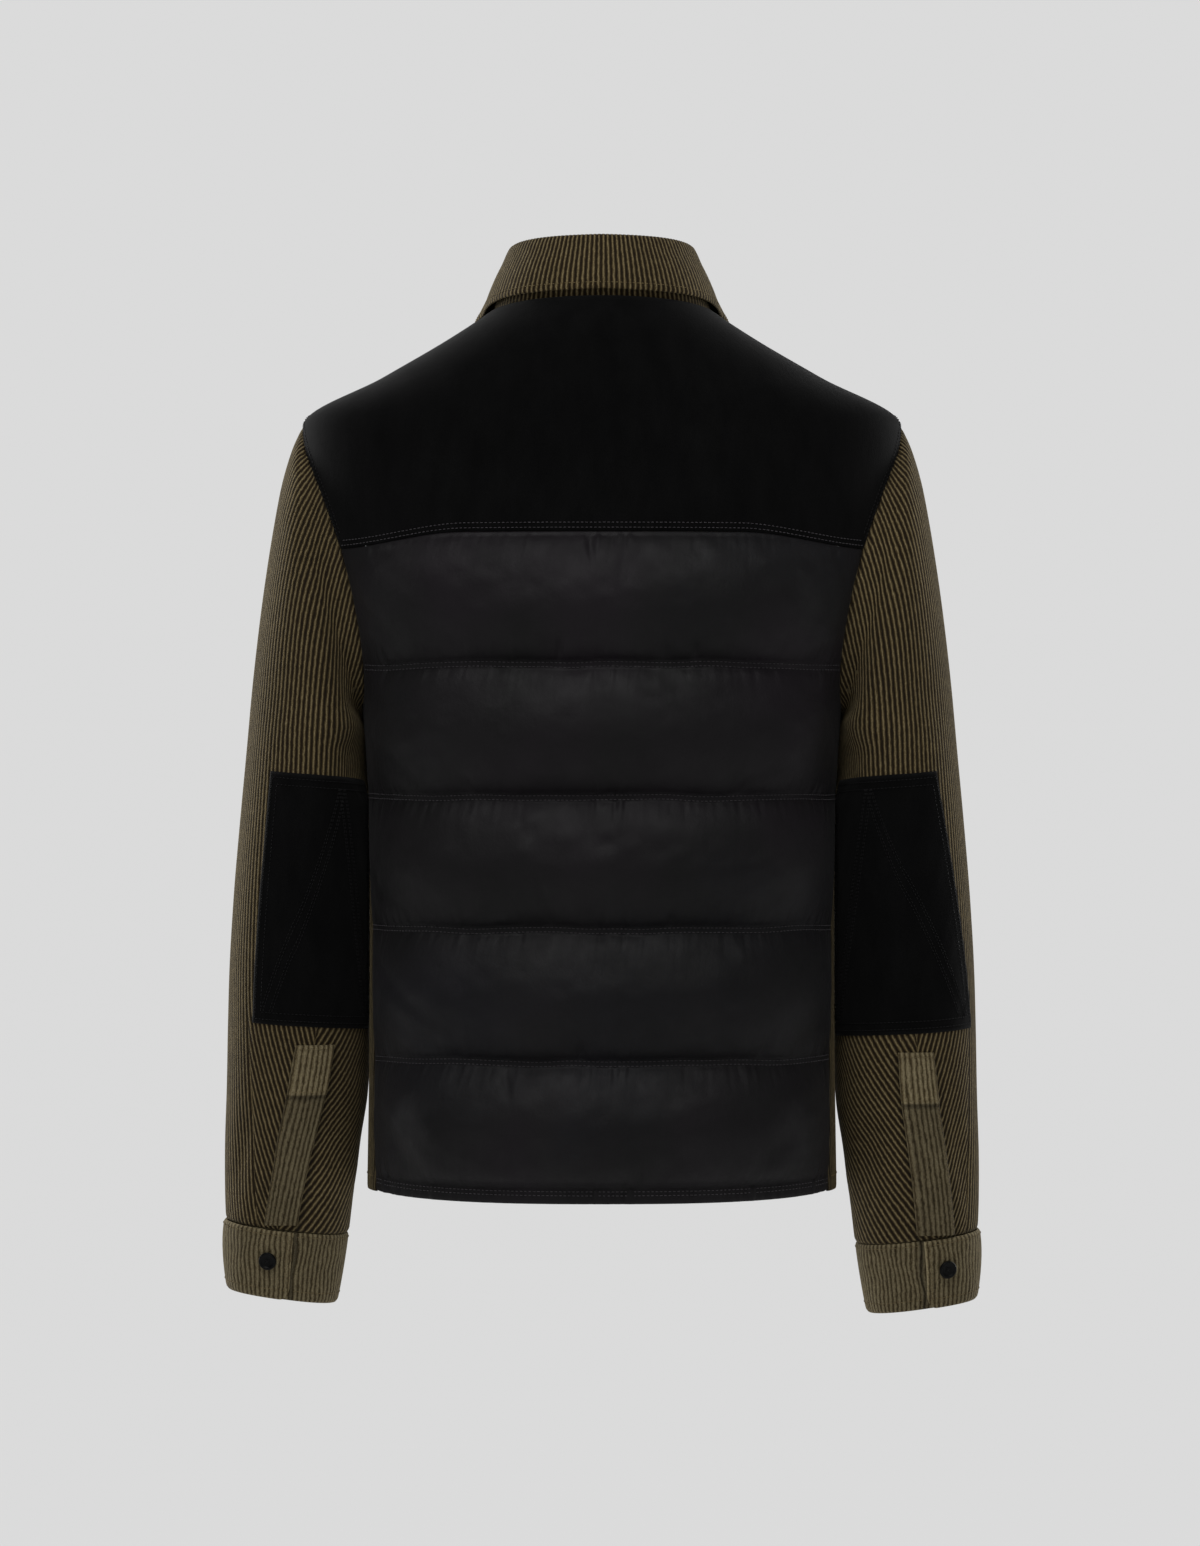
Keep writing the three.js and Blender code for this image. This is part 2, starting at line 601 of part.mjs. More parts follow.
// How far the folds move the sleeve's cloth in or out
function foldDepth(around, z) {
  let depth = 0;
  for (const fold of SLEEVE_FOLDS) {
    const up = z - fold.z;
    const turn = ((around - fold.around - fold.slant * up + 540) % 360) - 180;
    depth += fold.depth * Math.exp(-((turn / fold.wide) ** 2) - (up / fold.long) ** 2);
  }
  return depth;
}

// How far down the sleeve, in rings, its cloth is at a height
function sleeveAlong(around, z) {
  let [high, low] = [1, SLEEVE.length];
  for (let n = 0; n < 30; n++) {
    const half = (high + low) / 2;
    if (sleeve(around, half).z > z) high = half;
    else low = half;
  }
  return high;
}

// Cloth on the left sleeve, or mirrored and hung a little lower on the right
function onSleeve(arm, around, along, low, high) {
  const point = sleeve(around, along);
  const normal = along < 0.01 ? armholeRing(around).normal : sleeveNormal(around, along);
  const settled = smooth((along - 1) / 2);
  point.addScaledVector(normal, foldDepth(around, point.z) * settled);
  return onArm(arm, { point, normal, low, high });
}

// The same on the flat facets between the sleeve's own points, for what lies on it
function onFacets(arm, around, z, low, high) {
  const along = sleeveAlong(around, z);
  const [i, j] = [Math.min(Math.floor(along), SLEEVE.length - 1), Math.floor(around / ARM_STEP)];
  const corner = (rings, columns) => onSleeve(ARMS[0], (j + columns) * ARM_STEP, i + rings, 0, 0);
  const [across, down] = [around / ARM_STEP - j, along - i];
  const [first, beside, below, opposite] = [corner(0, 0), corner(0, 1), corner(1, 0), corner(1, 1)];
  const direct = cutsFromFirst(first.point, beside.point, opposite.point, below.point);
  const sum = (key, ...terms) => {
    const total = new THREE.Vector3();
    for (const [at, share] of terms) total.addScaledVector(at[key], share);
    return total;
  };
  const blend = (key) => {
    if (direct && across > down)
      return sum(key, [first, 1 - across], [beside, across - down], [opposite, down]);
    if (direct) return sum(key, [first, 1 - down], [below, down - across], [opposite, across]);
    if (across + down < 1)
      return sum(key, [first, 1 - across - down], [beside, across], [below, down]);
    return sum(key, [opposite, across + down - 1], [below, 1 - across], [beside, 1 - down]);
  };
  return onArm(arm, { point: blend("point"), normal: blend("normal").normalize(), low, high });
}

function onArm(arm, placed) {
  placed.point.z -= arm.drop * smooth((DROP_FROM - placed.point.z) / (DROP_FROM - DROP_TO));
  placed.point.x *= arm.side;
  placed.normal.x *= arm.side;
  return placed;
}

function sleeveTube(arm) {
  const rows = SLEEVE.length + 1;
  return cloth(
    rows,
    360 / ARM_STEP,
    (i, j) => onSleeve(arm, j * ARM_STEP, i, 0, CORDUROY),
    true,
  );
}

function elbowPatch(arm) {
  const rows = 10;
  const columns = [];
  for (let around = 36; around <= PATCH_INNER; around += ARM_STEP)
    if (around > Math.min(...arm.patch)) columns.push(around);
  const low = CORDUROY + 3 * SEAM_GAP;
  return cloth(rows, columns.length + 1, (i, j) => {
    const down = i / (rows - 1);
    const edge = mix(...arm.patch, down);
    const around = j ? Math.max(columns[j - 1], edge + j) : edge;
    const slant = (PATCH_SLANT * (around - edge)) / (PATCH_INNER - edge);
    return onFacets(arm, around, mix(PATCH_TOP, PATCH_BOTTOM, down) - slant, low, low + PATCH);
  });
}

function sleevePlacket(arm) {
  const columns = 5;
  const heights = [SLIT_TOP, mix(SLIT_TOP, SLIT_BOX, 0.5), SLIT_BOX, SLIT_BOX - 2];
  for (let i = 1; i <= 5; i++) heights.push(mix(SLIT_BOX - 2, SLIT_BOTTOM, i / 5));
  const low = CORDUROY + 3 * SEAM_GAP;
  return cloth(heights.length, columns, (i, j) => {
    const z = heights[i];
    const middle = mix(...arm.slit, (z - SLIT_TOP) / (SLIT_BOTTOM - SLIT_TOP));
    const reach = sleeve(middle + 5, sleeveAlong(middle + 5, z));
    const perDegree = reach.distanceTo(sleeve(middle - 5, sleeveAlong(middle - 5, z))) / 10;
    const around = middle + (SLIT_HALF / perDegree) * ((2 * j) / (columns - 1) - 1);
    return onFacets(arm, around, z, low, low + (i < 3 ? SLIT_BOX_THICK : SLIT_THICK));
  });
}

// A point of the cuff's inside, "down" from 0 at its seam to 1 at its edge
function cuffPoint(around, down) {
  const [top, middle, bottom] = CUFF.map((ring) => ringPoint(ring, around));
  const point = top.multiplyScalar((1 - down) * (1 - 2 * down));
  point.addScaledVector(middle, 4 * down * (1 - down));
  return point.addScaledVector(bottom, down * (2 * down - 1));
}

function cuffNormal(around, down) {
  return normalOf(cuffPoint, around, down, 2, 0.05).multiplyScalar(-1);
}

function onCuff(arm, around, down, low, high) {
  const point = cuffPoint(around, down);
  return onArm(arm, { point, normal: cuffNormal(around, down), low, high });
}

// The cuff goes once round and laps over its own start, with the lap's lower corner rounded
function cuff(arm) {
  const start = arm.lap - CUFF_LAP;
  const turn = 360 + CUFF_LAP;
  const [rows, columns] = [4, 39];
  return cloth(rows, columns, (i, j) => {
    const around = start + turn * (j / (columns - 1));
    const left = start + turn - around;
    const lift = (CORDUROY + SEAM_GAP) * smooth((around - 300) / (start + 350 - 300));
    const corner = left < CUFF_CORNER ? 1 - Math.sqrt(1 - (1 - left / CUFF_CORNER) ** 2) : 0;
    const lowest = 1 - (corner * CUFF_CORNER_RISE) / 53;
    const highest = (3 * SEAM_GAP) / 53;
    return onCuff(arm, around, mix(highest, lowest, i / (rows - 1)), lift, lift + CORDUROY);
  });
}

// A low domed button standing on a point, turned to its normal
function button(placed) {
  const profile = [
    new THREE.Vector2(0, 0),
    new THREE.Vector2(BUTTON_RADIUS - 1, 0),
    new THREE.Vector2(BUTTON_RADIUS, 1),
    new THREE.Vector2(BUTTON_RADIUS, BUTTON_THICK - 1.2),
    new THREE.Vector2(BUTTON_RADIUS - 1, BUTTON_THICK),
    new THREE.Vector2(BUTTON_RADIUS - 2.2, BUTTON_THICK - 0.5),
    new THREE.Vector2(0, BUTTON_THICK - 0.4),
  ];
  const geometry = new THREE.LatheGeometry(profile, 18);
  const turn = new THREE.Quaternion().setFromUnitVectors(new THREE.Vector3(0, 1, 0), placed.normal);
  const at = placed.point.clone().addScaledVector(placed.normal, placed.high);
  geometry.applyMatrix4(new THREE.Matrix4().compose(at, turn, new THREE.Vector3(1, 1, 1)));
  return geometry;
}

add("back_yoke", yoke(), SUEDE_LOOK);
add("back_quilted", quiltedBack(), NYLON_LOOK);
add("front_left", front(1), CORDUROY_LOOK);
add("front_right", front(-1), CORDUROY_LOOK);
add("front_placket", frontPlacket(), CORDUROY_LOOK);
add("collar_stand", collarStand(), CORDUROY_LOOK);
add("collar_leaf", collarLeaf(), CORDUROY_LOOK);
for (const arm of ARMS) {
  add(`sleeve_${arm.name}`, sleeveTube(arm), CORDUROY_LOOK);
  add(`elbow_patch_${arm.name}`, elbowPatch(arm), SUEDE_LOOK);
  add(`sleeve_placket_${arm.name}`, sleevePlacket(arm), CORDUROY_LOOK);
  add(`cuff_${arm.name}`, cuff(arm), CORDUROY_LOOK);
  const onLap = 2 * CORDUROY + 3 * SEAM_GAP;
  add(`cuff_button_${arm.name}`, button(onCuff(arm, arm.button, 0.5, 0, onLap)), BUTTON_LOOK);
}
for (let i = 0; i < FRONT_BUTTONS; i++) {
  const z = mix(-84, -640, i / (FRONT_BUTTONS - 1));
  const above = CORDUROY + PLACKET_THICK + 4 * SEAM_GAP;
  add(`front_button_${i + 1}`, button(onTorso(180, z, 0, above)), BUTTON_LOOK);
}

export default jacket;
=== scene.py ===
# The down jacket's looks: cloth with real wales, down baffles, suede, stitches and buttons.
# Shapes are worked out in millimetres in the part's own frame and turned into metres last.
# +Z is up, the front faces -Y and the wearer's left is +X.
import math

import bmesh
import bpy
import numpy as np
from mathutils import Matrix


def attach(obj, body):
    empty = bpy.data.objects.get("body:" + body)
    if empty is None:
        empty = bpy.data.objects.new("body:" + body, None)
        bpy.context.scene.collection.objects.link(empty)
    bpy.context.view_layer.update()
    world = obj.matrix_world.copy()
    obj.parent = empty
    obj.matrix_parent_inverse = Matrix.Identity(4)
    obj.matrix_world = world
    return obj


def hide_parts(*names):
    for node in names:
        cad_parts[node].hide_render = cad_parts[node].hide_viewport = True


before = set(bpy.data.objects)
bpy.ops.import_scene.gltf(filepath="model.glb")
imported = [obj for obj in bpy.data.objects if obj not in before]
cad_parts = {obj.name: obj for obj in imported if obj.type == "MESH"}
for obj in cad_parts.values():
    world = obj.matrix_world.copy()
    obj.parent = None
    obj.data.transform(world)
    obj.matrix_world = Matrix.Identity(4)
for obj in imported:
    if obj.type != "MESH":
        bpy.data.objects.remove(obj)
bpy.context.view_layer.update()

MM = 0.001

# Sizes shared with the part
SEAM_GAP = 0.3
CORDUROY = 2.0
SUEDE = 2.2
NYLON_SEAM = 3.0
BAFFLE_LOFT = 19.0
SQUARENESS = 2.3

# Torso: height, half width, depth to the back, depth to the front
TORSO = [
    (-700, 181, 118, 117),
    (-560, 179, 115, 114),
    (-450, 178.5, 116, 114),
    (-350, 180, 119, 115),
    (-305, 183.5, 121, 115),
    (-268, 198, 122, 113.5),
    (-222, 213.5, 122.5, 110),
    (-175, 223, 121, 103),
    (-130, 229.5, 117, 94),
    (-105, 232.5, 114, 87),
    (-85, 231, 111, 80),
    (-50, 170.5, 103, 73),
    (-20, 119, 91, 68),
    (3, 84.5, 74, 63),
    (14, 71, 63, 58),
]
YOKE_SEAM = -173
YOKE_SEAM_ARM = 84
BAFFLES = 5
BAFFLE_PITCH = 100.6
HEM_STITCH = -671
BACK_HEM = -681.5
FRONT_HEM = -680
HEM_RISE = 4
ARMHOLE_MIDDLE = -195
ARMHOLE_HALF = 110
ARMHOLE_BACK = 18.2
ARMHOLE_FRONT = 20.5
ARMHOLE_LOW = 0.4
UNDERARM = ARMHOLE_MIDDLE - ARMHOLE_HALF
SIDE_SEAM_BEND = -480
SIDE_SEAM_AT_BEND = 80.5
SIDE_SEAM_AT_HEM = 76
NECK_SIDE = 3
NECK_BACK_RISE = 7
NECK_FRONT_DROP = 56
SHOULDER_SEAM_NECK = 110
SHOULDER_SEAM_ARM = -36
PLACKET_HALF = 17
CENTRE_EDGE = 12
PLACKET_THICK = 1.8
FRONT_BUTTONS = 6
FRONT_BUTTON_TOP = -84
FRONT_BUTTON_BOTTOM = -640

# Collar, by azimuth from the centre back: fold height, edge height, spread
COLLAR = [
    (0, 55.4, 15.6, 0),
    (45, 54.4, 13.2, 0),
    (90, 50, 4.5, 0),
    (115, 32, -18, -1),
    (140, 5, -52, -8),
    (168, -24, -92, -18),
]
FOLD_HALF_WIDTH = 67.5
FOLD_BACK = 56
FOLD_FRONT = 58
STAND_END = 172
STAND_ROWS = 10
STAND_TALL = 50
LEAF_END = 163.4
LEAF = 2.4
LEAF_TALL = 42.0
LEAF_CLEAR = 2
LEAF_OUTSIDE = 5
LEAF_BOW = 1.6

# Left sleeve's rings: outer point, inner point, depth to the back, depth to the front
SLEEVE = np.array([
    (239, -103, 188, -307.5, 64, -68),
    (246, -126, 191.5, -311.5, 68, -71),
    (251, -150, 191.5, -319, 70, -72),
    (257.5, -188, 189, -330, 70, -74),
    (264, -232, 187.2, -348, 67, -77),
    (270.5, -285, 185.9, -372, 62, -81),
    (276, -340, 185.8, -402, 56, -86),
    (281.5, -395, 185.4, -438, 51, -89),
    (286.5, -450, 185.4, -478, 46, -91),
    (290, -505, 185.4, -521, 42, -91),
    (291.5, -555, 185.6, -563, 38, -89),
    (292.5, -603, 186.6, -605, 34, -85),
    (293.8, -645, 193, -646, 30, -79),
    (293.8, -680, 198, -685, 27, -74),
    (293, -705, 201.5, -716, 23, -68),
])
CUFF = np.array([
    (293, -705, 201.5, -716, 23, -68),
    (294.5, -729, 205, -741, 18, -65),
    (291.5, -759, 210.5, -771, 13, -62),
])
RINGS = len(SLEEVE)
SLEEVE_SQUARENESS = 2.25
DROP_FROM = -330
DROP_TO = -700
ARMS = [
    {
        "name": "left", "side": 1, "drop": 0, "patch": (62.5, 57), "slit": (106, 87.5),
        "lap": 98, "button": 80.5, "part": (48, 65), "lean": (14, 43), "patch_wide": 118,
        "dart": (0.60, 0.12, 0.90),
    },
    {
        "name": "right", "side": -1, "drop": 8, "patch": (59, 30), "slit": (86, 75.5),
        "lap": 88, "button": 70, "part": (30, 40), "lean": (17, 40), "patch_wide": 135,
        "dart": (0.55, 0.10, 0.93),
    },
]
PATCH_TOP = -354
PATCH_BOTTOM = -549
PATCH_INNER = 168
PATCH_TALL = 197
PATCH_SLANT = 7
SLIT_TOP = -566
SLIT_BOX = -604
SLIT_BOTTOM = -706
SLIT_HALF = 14
CUFF_LAP = 34
CUFF_TALL = 53
CUFF_CORNER = 9
CUFF_CORNER_RISE = 8

# Heights of a patch's and a placket's two faces over the sleeve's inside
PATCH_UNDER = 2.45
PATCH_FACE = 4.35
SLIT_UNDER = 2.5
SLIT_FACE = 4.4

# Main folds of a sleeve: degrees round the arm, height, depth, width in degrees, length, slant
FOLDS = [
    (150, -352, -4.5, 26, 20, 0.25),
    (118, -322, 2.5, 30, 14, 0.2),
    (200, -392, -4, 30, 16, -0.2),
    (292, -470, -6, 34, 13, 0.3),
    (268, -505, -5, 32, 12, -0.25),
    (130, -640, -3.5, 16, 30, -0.3),
    (48, -650, -2.5, 14, 36, 0.2),
    (230, -655, -3.5, 18, 30, 0.2),
]

# Finer creases on top of them, in the same terms
CREASES = [
    (160, -300, -1.6, 22, 7, 0.5),
    (148, -318, 1.4, 26, 7, 0.45),
    (128, -338, -1.5, 24, 7, 0.35),
    (165, -378, 1.2, 20, 8, 0.2),
    (60, -300, -0.9, 18, 26, 0.1),
    (235, -330, -1.6, 24, 8, -0.4),
    (245, -352, 1.4, 22, 8, -0.35),
    (280, -440, 1.8, 26, 9, 0.2),
    (300, -492, 1.6, 24, 8, -0.1),
    (262, -536, -1.8, 24, 9, 0.2),
    (330, -560, 1.2, 20, 16, 0.2),
    (100, -660, 1.1, 9, 26, -0.2),
    (160, -590, -1.5, 14, 16, -0.5),
    (170, -668, 1.2, 12, 18, 0.3),
    (300, -640, -1.6, 12, 30, 0.25),
    (184, -328, 2.3, 30, 20, 0),
    (184, -321, 1.3, 34, 8, 0),
    (200, -322, 1.7, 24, 9, 0),
    (198, -392, 3.4, 28, 17, -0.2),
    (190, -410, 0.9, 26, 70, 0),
]

# Corduroy: distance between its wales and how high they stand
WALE = 3.7
WALE_HEIGHT = 0.55
WALE_SAMPLES = 4
WALE_STEP = WALE / WALE_SAMPLES

# Angle between faces, in degrees, from which an edge looks sharp
SHARP_FROM = 75

# Height at which the wales of a sleeve start to lean towards its placket, under the elbow patch
WALE_TURN = -535
LEAN_EASE = 25


# Reads a table smoothly between its rows, without overshoot
def reader(rows):
    table = np.array(rows, float)
    at, values = table[:, 0], table[:, 1:]
    steps = np.diff(values, axis=0) / np.diff(at)[:, None]
    before, after = steps[:-1], steps[1:]
    same = before * after > 0
    middle = np.where(same, 2 * before * after / np.where(same, before + after, 1), 0)
    slopes = np.vstack([steps[:1], middle, steps[-1:]])

    def read(x):
        x = np.asarray(x, float)
        i = np.clip(np.searchsorted(at, x) - 1, 0, len(at) - 2)
        width = (at[i + 1] - at[i])[..., None]
        t = (x - at[i])[..., None] / width
        rise, fall = slopes[i] * width, slopes[i + 1] * width
        start, end = values[i], values[i + 1]
        curve = start * (1 + 2 * t) * (1 - t) ** 2 + rise * t * (1 - t) ** 2
        curve = curve + end * t * t * (3 - 2 * t) + fall * t * t * (t - 1)
        return np.where(t < 0, start + rise * t, np.where(t > 1, end + fall * (t - 1), curve))

    return read


torso_size = reader(TORSO)
collar_size = reader(COLLAR)


def mix(start, end, share):
    return start + (end - start) * share


def smooth(share):
    t = np.clip(share, 0, 1)
    return t * t * (3 - 2 * t)


def power(value, exponent):
    return np.sign(value) * np.abs(value) ** exponent


def unit(vector):
    return vector / np.maximum(np.linalg.norm(vector, axis=-1, keepdims=True), 1e-9)


def sine(degrees):
    return np.sin(np.radians(degrees))


def cosine(degrees):
    return np.cos(np.radians(degrees))


# A smooth uneven wave between about -1 and 1, the same every time, with bumps "size" apart
def wave(x, size, seed):
    x = np.asarray(x, float) / size * 2 * math.pi
    total = np.sin(x + seed * 1.7) + 0.7 * np.sin(x * 0.618 + seed * 4.1)
    return (total + 0.6 * np.sin(x * 1.47 + seed * 2.9) + 0.4 * np.sin(x * 2.23 + seed)) / 2.1


# Sum of soft ridges and troughs: where, height, depth, width, length, slant
def relief(around, z, table, turn=360):
    depth = np.zeros(np.broadcast(around, z).shape)
    for at, height, size, wide, tall, slant in table:
        up = z - height
        off = (around - at - slant * up + turn * 1.5) % turn - turn / 2
        depth = depth + size * np.exp(-((off / wide) ** 2) - (up / tall) ** 2)
    return depth


def torso(azimuth, z):
    azimuth, z = np.broadcast_arrays(np.asarray(azimuth, float), np.asarray(z, float))
    size = torso_size(z)
    s, c = sine(azimuth), cosine(azimuth)
    depth = np.where(c > 0, size[..., 1], size[..., 2])
    across = np.abs(s / size[..., 0]) ** SQUARENESS + np.abs(c / depth) ** SQUARENESS
    radius = across ** (-1 / SQUARENESS)
    return np.stack([radius * s, radius * c, z], -1)


def normal_of(surface, u, v, step_u, step_v):
    along_u = surface(u + step_u, v) - surface(u - step_u, v)
    along_v = surface(u, v + step_v) - surface(u, v - step_v)
    return unit(np.cross(along_v, along_u))


def torso_normal(azimuth, z):
    return normal_of(torso, azimuth, z, 0.6, 1.0)


def torso_face(azimuth, z):
    return torso(azimuth, z), torso_normal(azimuth, z)


def neck_height(azimuth):
    s, c = sine(azimuth), cosine(azimuth)
    return NECK_SIDE + NECK_BACK_RISE * c - np.where(c < 0, NECK_FRONT_DROP * (1 - np.abs(s)), 0)


# The armhole's azimuth and height at an angle round its loop: 0 to 180 is the back edge
def armhole(around):
    s, c = sine(around), cosine(around)
    shape = np.abs(s) * (1 - ARMHOLE_LOW * c)
    azimuth = np.where(s > 0, 90 - ARMHOLE_BACK * shape, 90 + ARMHOLE_FRONT * shape)
    return azimuth, ARMHOLE_MIDDLE + ARMHOLE_HALF * c


def armhole_angle(z):
    return np.degrees(np.arccos(np.clip((z - ARMHOLE_MIDDLE) / ARMHOLE_HALF, -1, 1)))


def side_seam(z):
    upper = mix(90, SIDE_SEAM_AT_BEND, (UNDERARM - z) / (UNDERARM - SIDE_SEAM_BEND))
    down = (SIDE_SEAM_BEND - z) / (SIDE_SEAM_BEND - FRONT_HEM)
    return np.where(z > SIDE_SEAM_BEND, upper, mix(SIDE_SEAM_AT_BEND, SIDE_SEAM_AT_HEM, down))


def back_edge(z):
    return np.where(z > UNDERARM, armhole(armhole_angle(z))[0], side_seam(z))


SEAM_ARM_AZIMUTH, SEAM_ARM_Z = (float(x) for x in armhole(SHOULDER_SEAM_ARM))
SEAM_NECK_Z = float(neck_height(SHOULDER_SEAM_NECK)) - 4
YOKE_CORNER, YOKE_CORNER_Z = (float(x) for x in armhole(YOKE_SEAM_ARM))
NECK_FRONT_Z = float(neck_height(180))


def shoulder_seam(z):
    return mix(SEAM_ARM_AZIMUTH, SHOULDER_SEAM_NECK, (z - SEAM_ARM_Z) / (SEAM_NECK_Z - SEAM_ARM_Z))


def front_edge(z):
    below = np.where(z > UNDERARM, armhole(-armhole_angle(z))[0], side_seam(z))
    return np.where(z > SEAM_ARM_Z, shoulder_seam(z), below)


def yoke_seam(share):
    return mix(YOKE_SEAM, YOKE_CORNER_Z, smooth((np.abs(share) - 0.6) / 0.4))


def front_azimuth(x, z):
    return 180 - np.degrees(np.arcsin(x / torso_size(z)[..., 2]))


# The neckline's azimuth at a height, on the front
def neck_azimuth(z):
    angles = np.linspace(90, 180, 721)
    return np.interp(-z, -neck_height(angles), angles)


# Square faces of a grid of points, rows by columns, that are counted from "first"
def grid_faces(rows, columns, first=0):
    i, j = np.meshgrid(np.arange(rows - 1), np.arange(columns - 1), indexing="ij")
    a = first + i * columns + j
    return np.stack([a, a + 1, a + columns + 1, a + columns], -1).reshape(-1, 4)


# Every few of a count of rows or columns, and the last one
def every(count, step):
    return [*range(0, count - 1, step), count - 1]


# Faces that join a fine edge to every few points of a coarser one
def rim_faces(fine, coarse, kept):
    faces = []
    for n in range(len(kept) - 1):
        span = [fine[k] for k in range(kept[n], kept[n + 1] + 1)]
        faces.append(span + [coarse[n + 1], coarse[n]])
    return faces


def placed(name, data):
    piece = bpy.data.objects.new(name, data)
    bpy.context.scene.collection.objects.link(piece)
    return piece


# A mesh object from points in millimetres, which are joined where they are nearer than "weld"
# "corners" are the threads at each point, and "second" the numbers of the faces' materials
def make_object(name, points, faces, materials, corners=None, second=None, weld=0.02):
    mesh = bpy.data.meshes.new(name)
    mesh.from_pydata((np.asarray(points) * MM).tolist(), [], faces)
    for material in materials:
        mesh.materials.append(material)
    if second is not None:
        mesh.polygons.foreach_set("material_index", np.asarray(second, dtype=np.int32))
    if corners is not None:
        layer = mesh.uv_layers.new(name="Cloth")
        vertex = np.empty(len(mesh.loops), dtype=np.int32)
        mesh.loops.foreach_get("vertex_index", vertex)
        corners = np.asarray(corners, dtype=np.float32)
        layer.data.foreach_set("uv", corners[vertex, :2].ravel())
        if corners.shape[1] > 2:
            # This layer holds both paler wear and painted shade, darker beside seams, laps and placket
            # edges
            wear_and_shade = mesh.attributes.new("WearAndShade", "FLOAT", "POINT")
            wear_and_shade.data.foreach_set("value", corners[:, 2].copy())
    work = bmesh.new()
    work.from_mesh(mesh)
    if weld:
        bmesh.ops.remove_doubles(work, verts=work.verts, dist=weld * MM)
        bmesh.ops.recalc_face_normals(work, faces=work.faces)
    work.to_mesh(mesh)
    work.free()
    mesh.polygons.foreach_set("use_smooth", np.ones(len(mesh.polygons), dtype=bool))
    mesh.set_sharp_from_angle(angle=math.radians(SHARP_FROM))
    return placed(name, mesh)


# A closed piece of cloth: a fine outside, and an inside with every few of its rows and columns
# Its sides are closed along their first "side_rows" rows, and welded to each other below those
# The threads are counts across and along the cloth, and how worn and pale it is or how dark with
# painted shade
def cloth(name, outer, inner, threads, materials, steps=(3, 12), side_rows=None):
    rows, columns = outer.shape[:2]
    kept_rows, kept_columns = every(rows, steps[0]), every(columns, steps[1])
    if side_rows:
        kept_rows = sorted({*kept_rows, side_rows - 1})
    lining = inner[np.ix_(kept_rows, kept_columns)]
    points = np.vstack([outer.reshape(-1, 3), lining.reshape(-1, 3)])
    corners = np.vstack([
        threads.reshape(-1, threads.shape[-1]),
        threads[np.ix_(kept_rows, kept_columns)].reshape(-1, threads.shape[-1]),
    ])
    first = rows * columns
    front = grid_faces(rows, columns)
    back = grid_faces(len(kept_rows), len(kept_columns), first)[:, ::-1]
    top = np.arange(rows * columns).reshape(rows, columns)
    under = first + np.arange(lining[..., 0].size).reshape(len(kept_rows), len(kept_columns))
    rims = rim_faces(top[0], under[0], kept_columns) + rim_faces(top[-1], under[-1], kept_columns)
    sides = [k for k in kept_rows if not side_rows or k < side_rows]
    rims += rim_faces(top[:, 0], under[:, 0], sides)
    rims += rim_faces(top[:, -1], under[:, -1], sides)
    faces = front.tolist() + back.tolist() + rims
    second = [0] * len(front) + [1] * len(back) + [0] * len(rims)
    return make_object(name, points, faces, materials, corners, second)


# Height of the wales over the cloth at a place counted in wales, lowest at whole numbers
def ribs(count):
    return WALE_HEIGHT * (1 - (2 * np.abs(count % 1 - 0.5)) ** 2.4)


# How far a cloth's face turns down towards an edge that is "away" millimetres off
def turned(away, depth=1.1, size=1.4):
    return depth * np.exp(-np.maximum(away, 0) / size)


# A soft band, of wear, of painted shade or of height, along a line that is "away" millimetres off
def band(away, size):
    return np.exp(-((away / size) ** 2))


# Length along the rows of a grid of points, seen from above
def level_lengths(points):
    steps = np.linalg.norm(np.diff(points[..., :2], axis=1), axis=-1)
    return np.concatenate([np.zeros((len(points), 1)), np.cumsum(steps, axis=1)], axis=1)


# Each row of a table over "columns", read at that row's own places
def read_rows(places, columns, rows):
    return np.array([np.interp(place, columns, row) for place, row in zip(places, rows)])


# The same the other way: the columns at which each row has the given values
def find_rows(values, columns, rows):
    return np.array([np.interp(value, row, columns) for value, row in zip(values, rows)])


# What the materials need at each point: counts across and along the cloth, and its wear and painted
# shade
def thread_table(*columns):
    return np.stack(np.broadcast_arrays(*columns), -1)


# Values spread so that equal steps are equal lengths along a line of points
def evenly(values, points, step):
    gaps = np.linalg.norm(np.diff(points, axis=0), axis=-1)
    at = np.concatenate([[0], np.cumsum(gaps)])
    count = max(2, int(round(at[-1] / step)) + 1)
    wanted = np.linspace(0, at[-1], count)
    return np.interp(wanted, at, values), wanted


# How far each point of a grid is from its nearest edge
def edge_distance(rows_at, columns_at):
    down = np.minimum(rows_at - rows_at[0], rows_at[-1] - rows_at)
    across = np.minimum(columns_at - columns_at[0], columns_at[-1] - columns_at)
    return np.minimum(down[:, None], across[None])


# Points of a sleeve's ring, 0 degrees outside, 90 behind, 180 by the body
def ring_point(ring, around):
    c = power(cosine(around), 2 / SLEEVE_SQUARENESS)
    s = power(sine(around), 2 / SLEEVE_SQUARENESS)
    outer_x, outer_z, inner_x, inner_z, back, front = np.moveaxis(ring, -1, 0)
    return np.stack([
        (outer_x + inner_x) / 2 + (outer_x - inner_x) / 2 * c,
        (back + front) / 2 + (back - front) / 2 * s,
        (outer_z + inner_z) / 2 + (outer_z - inner_z) / 2 * c,
    ], -1)


def armhole_ring(around):
    along = unit(torso(*armhole(around + 1.5)) - torso(*armhole(around - 1.5)))
    normal = torso_normal(*armhole(around))
    away = unit(np.cross(along, normal))
    return torso(*armhole(around)) + away * 2 * SEAM_GAP, normal


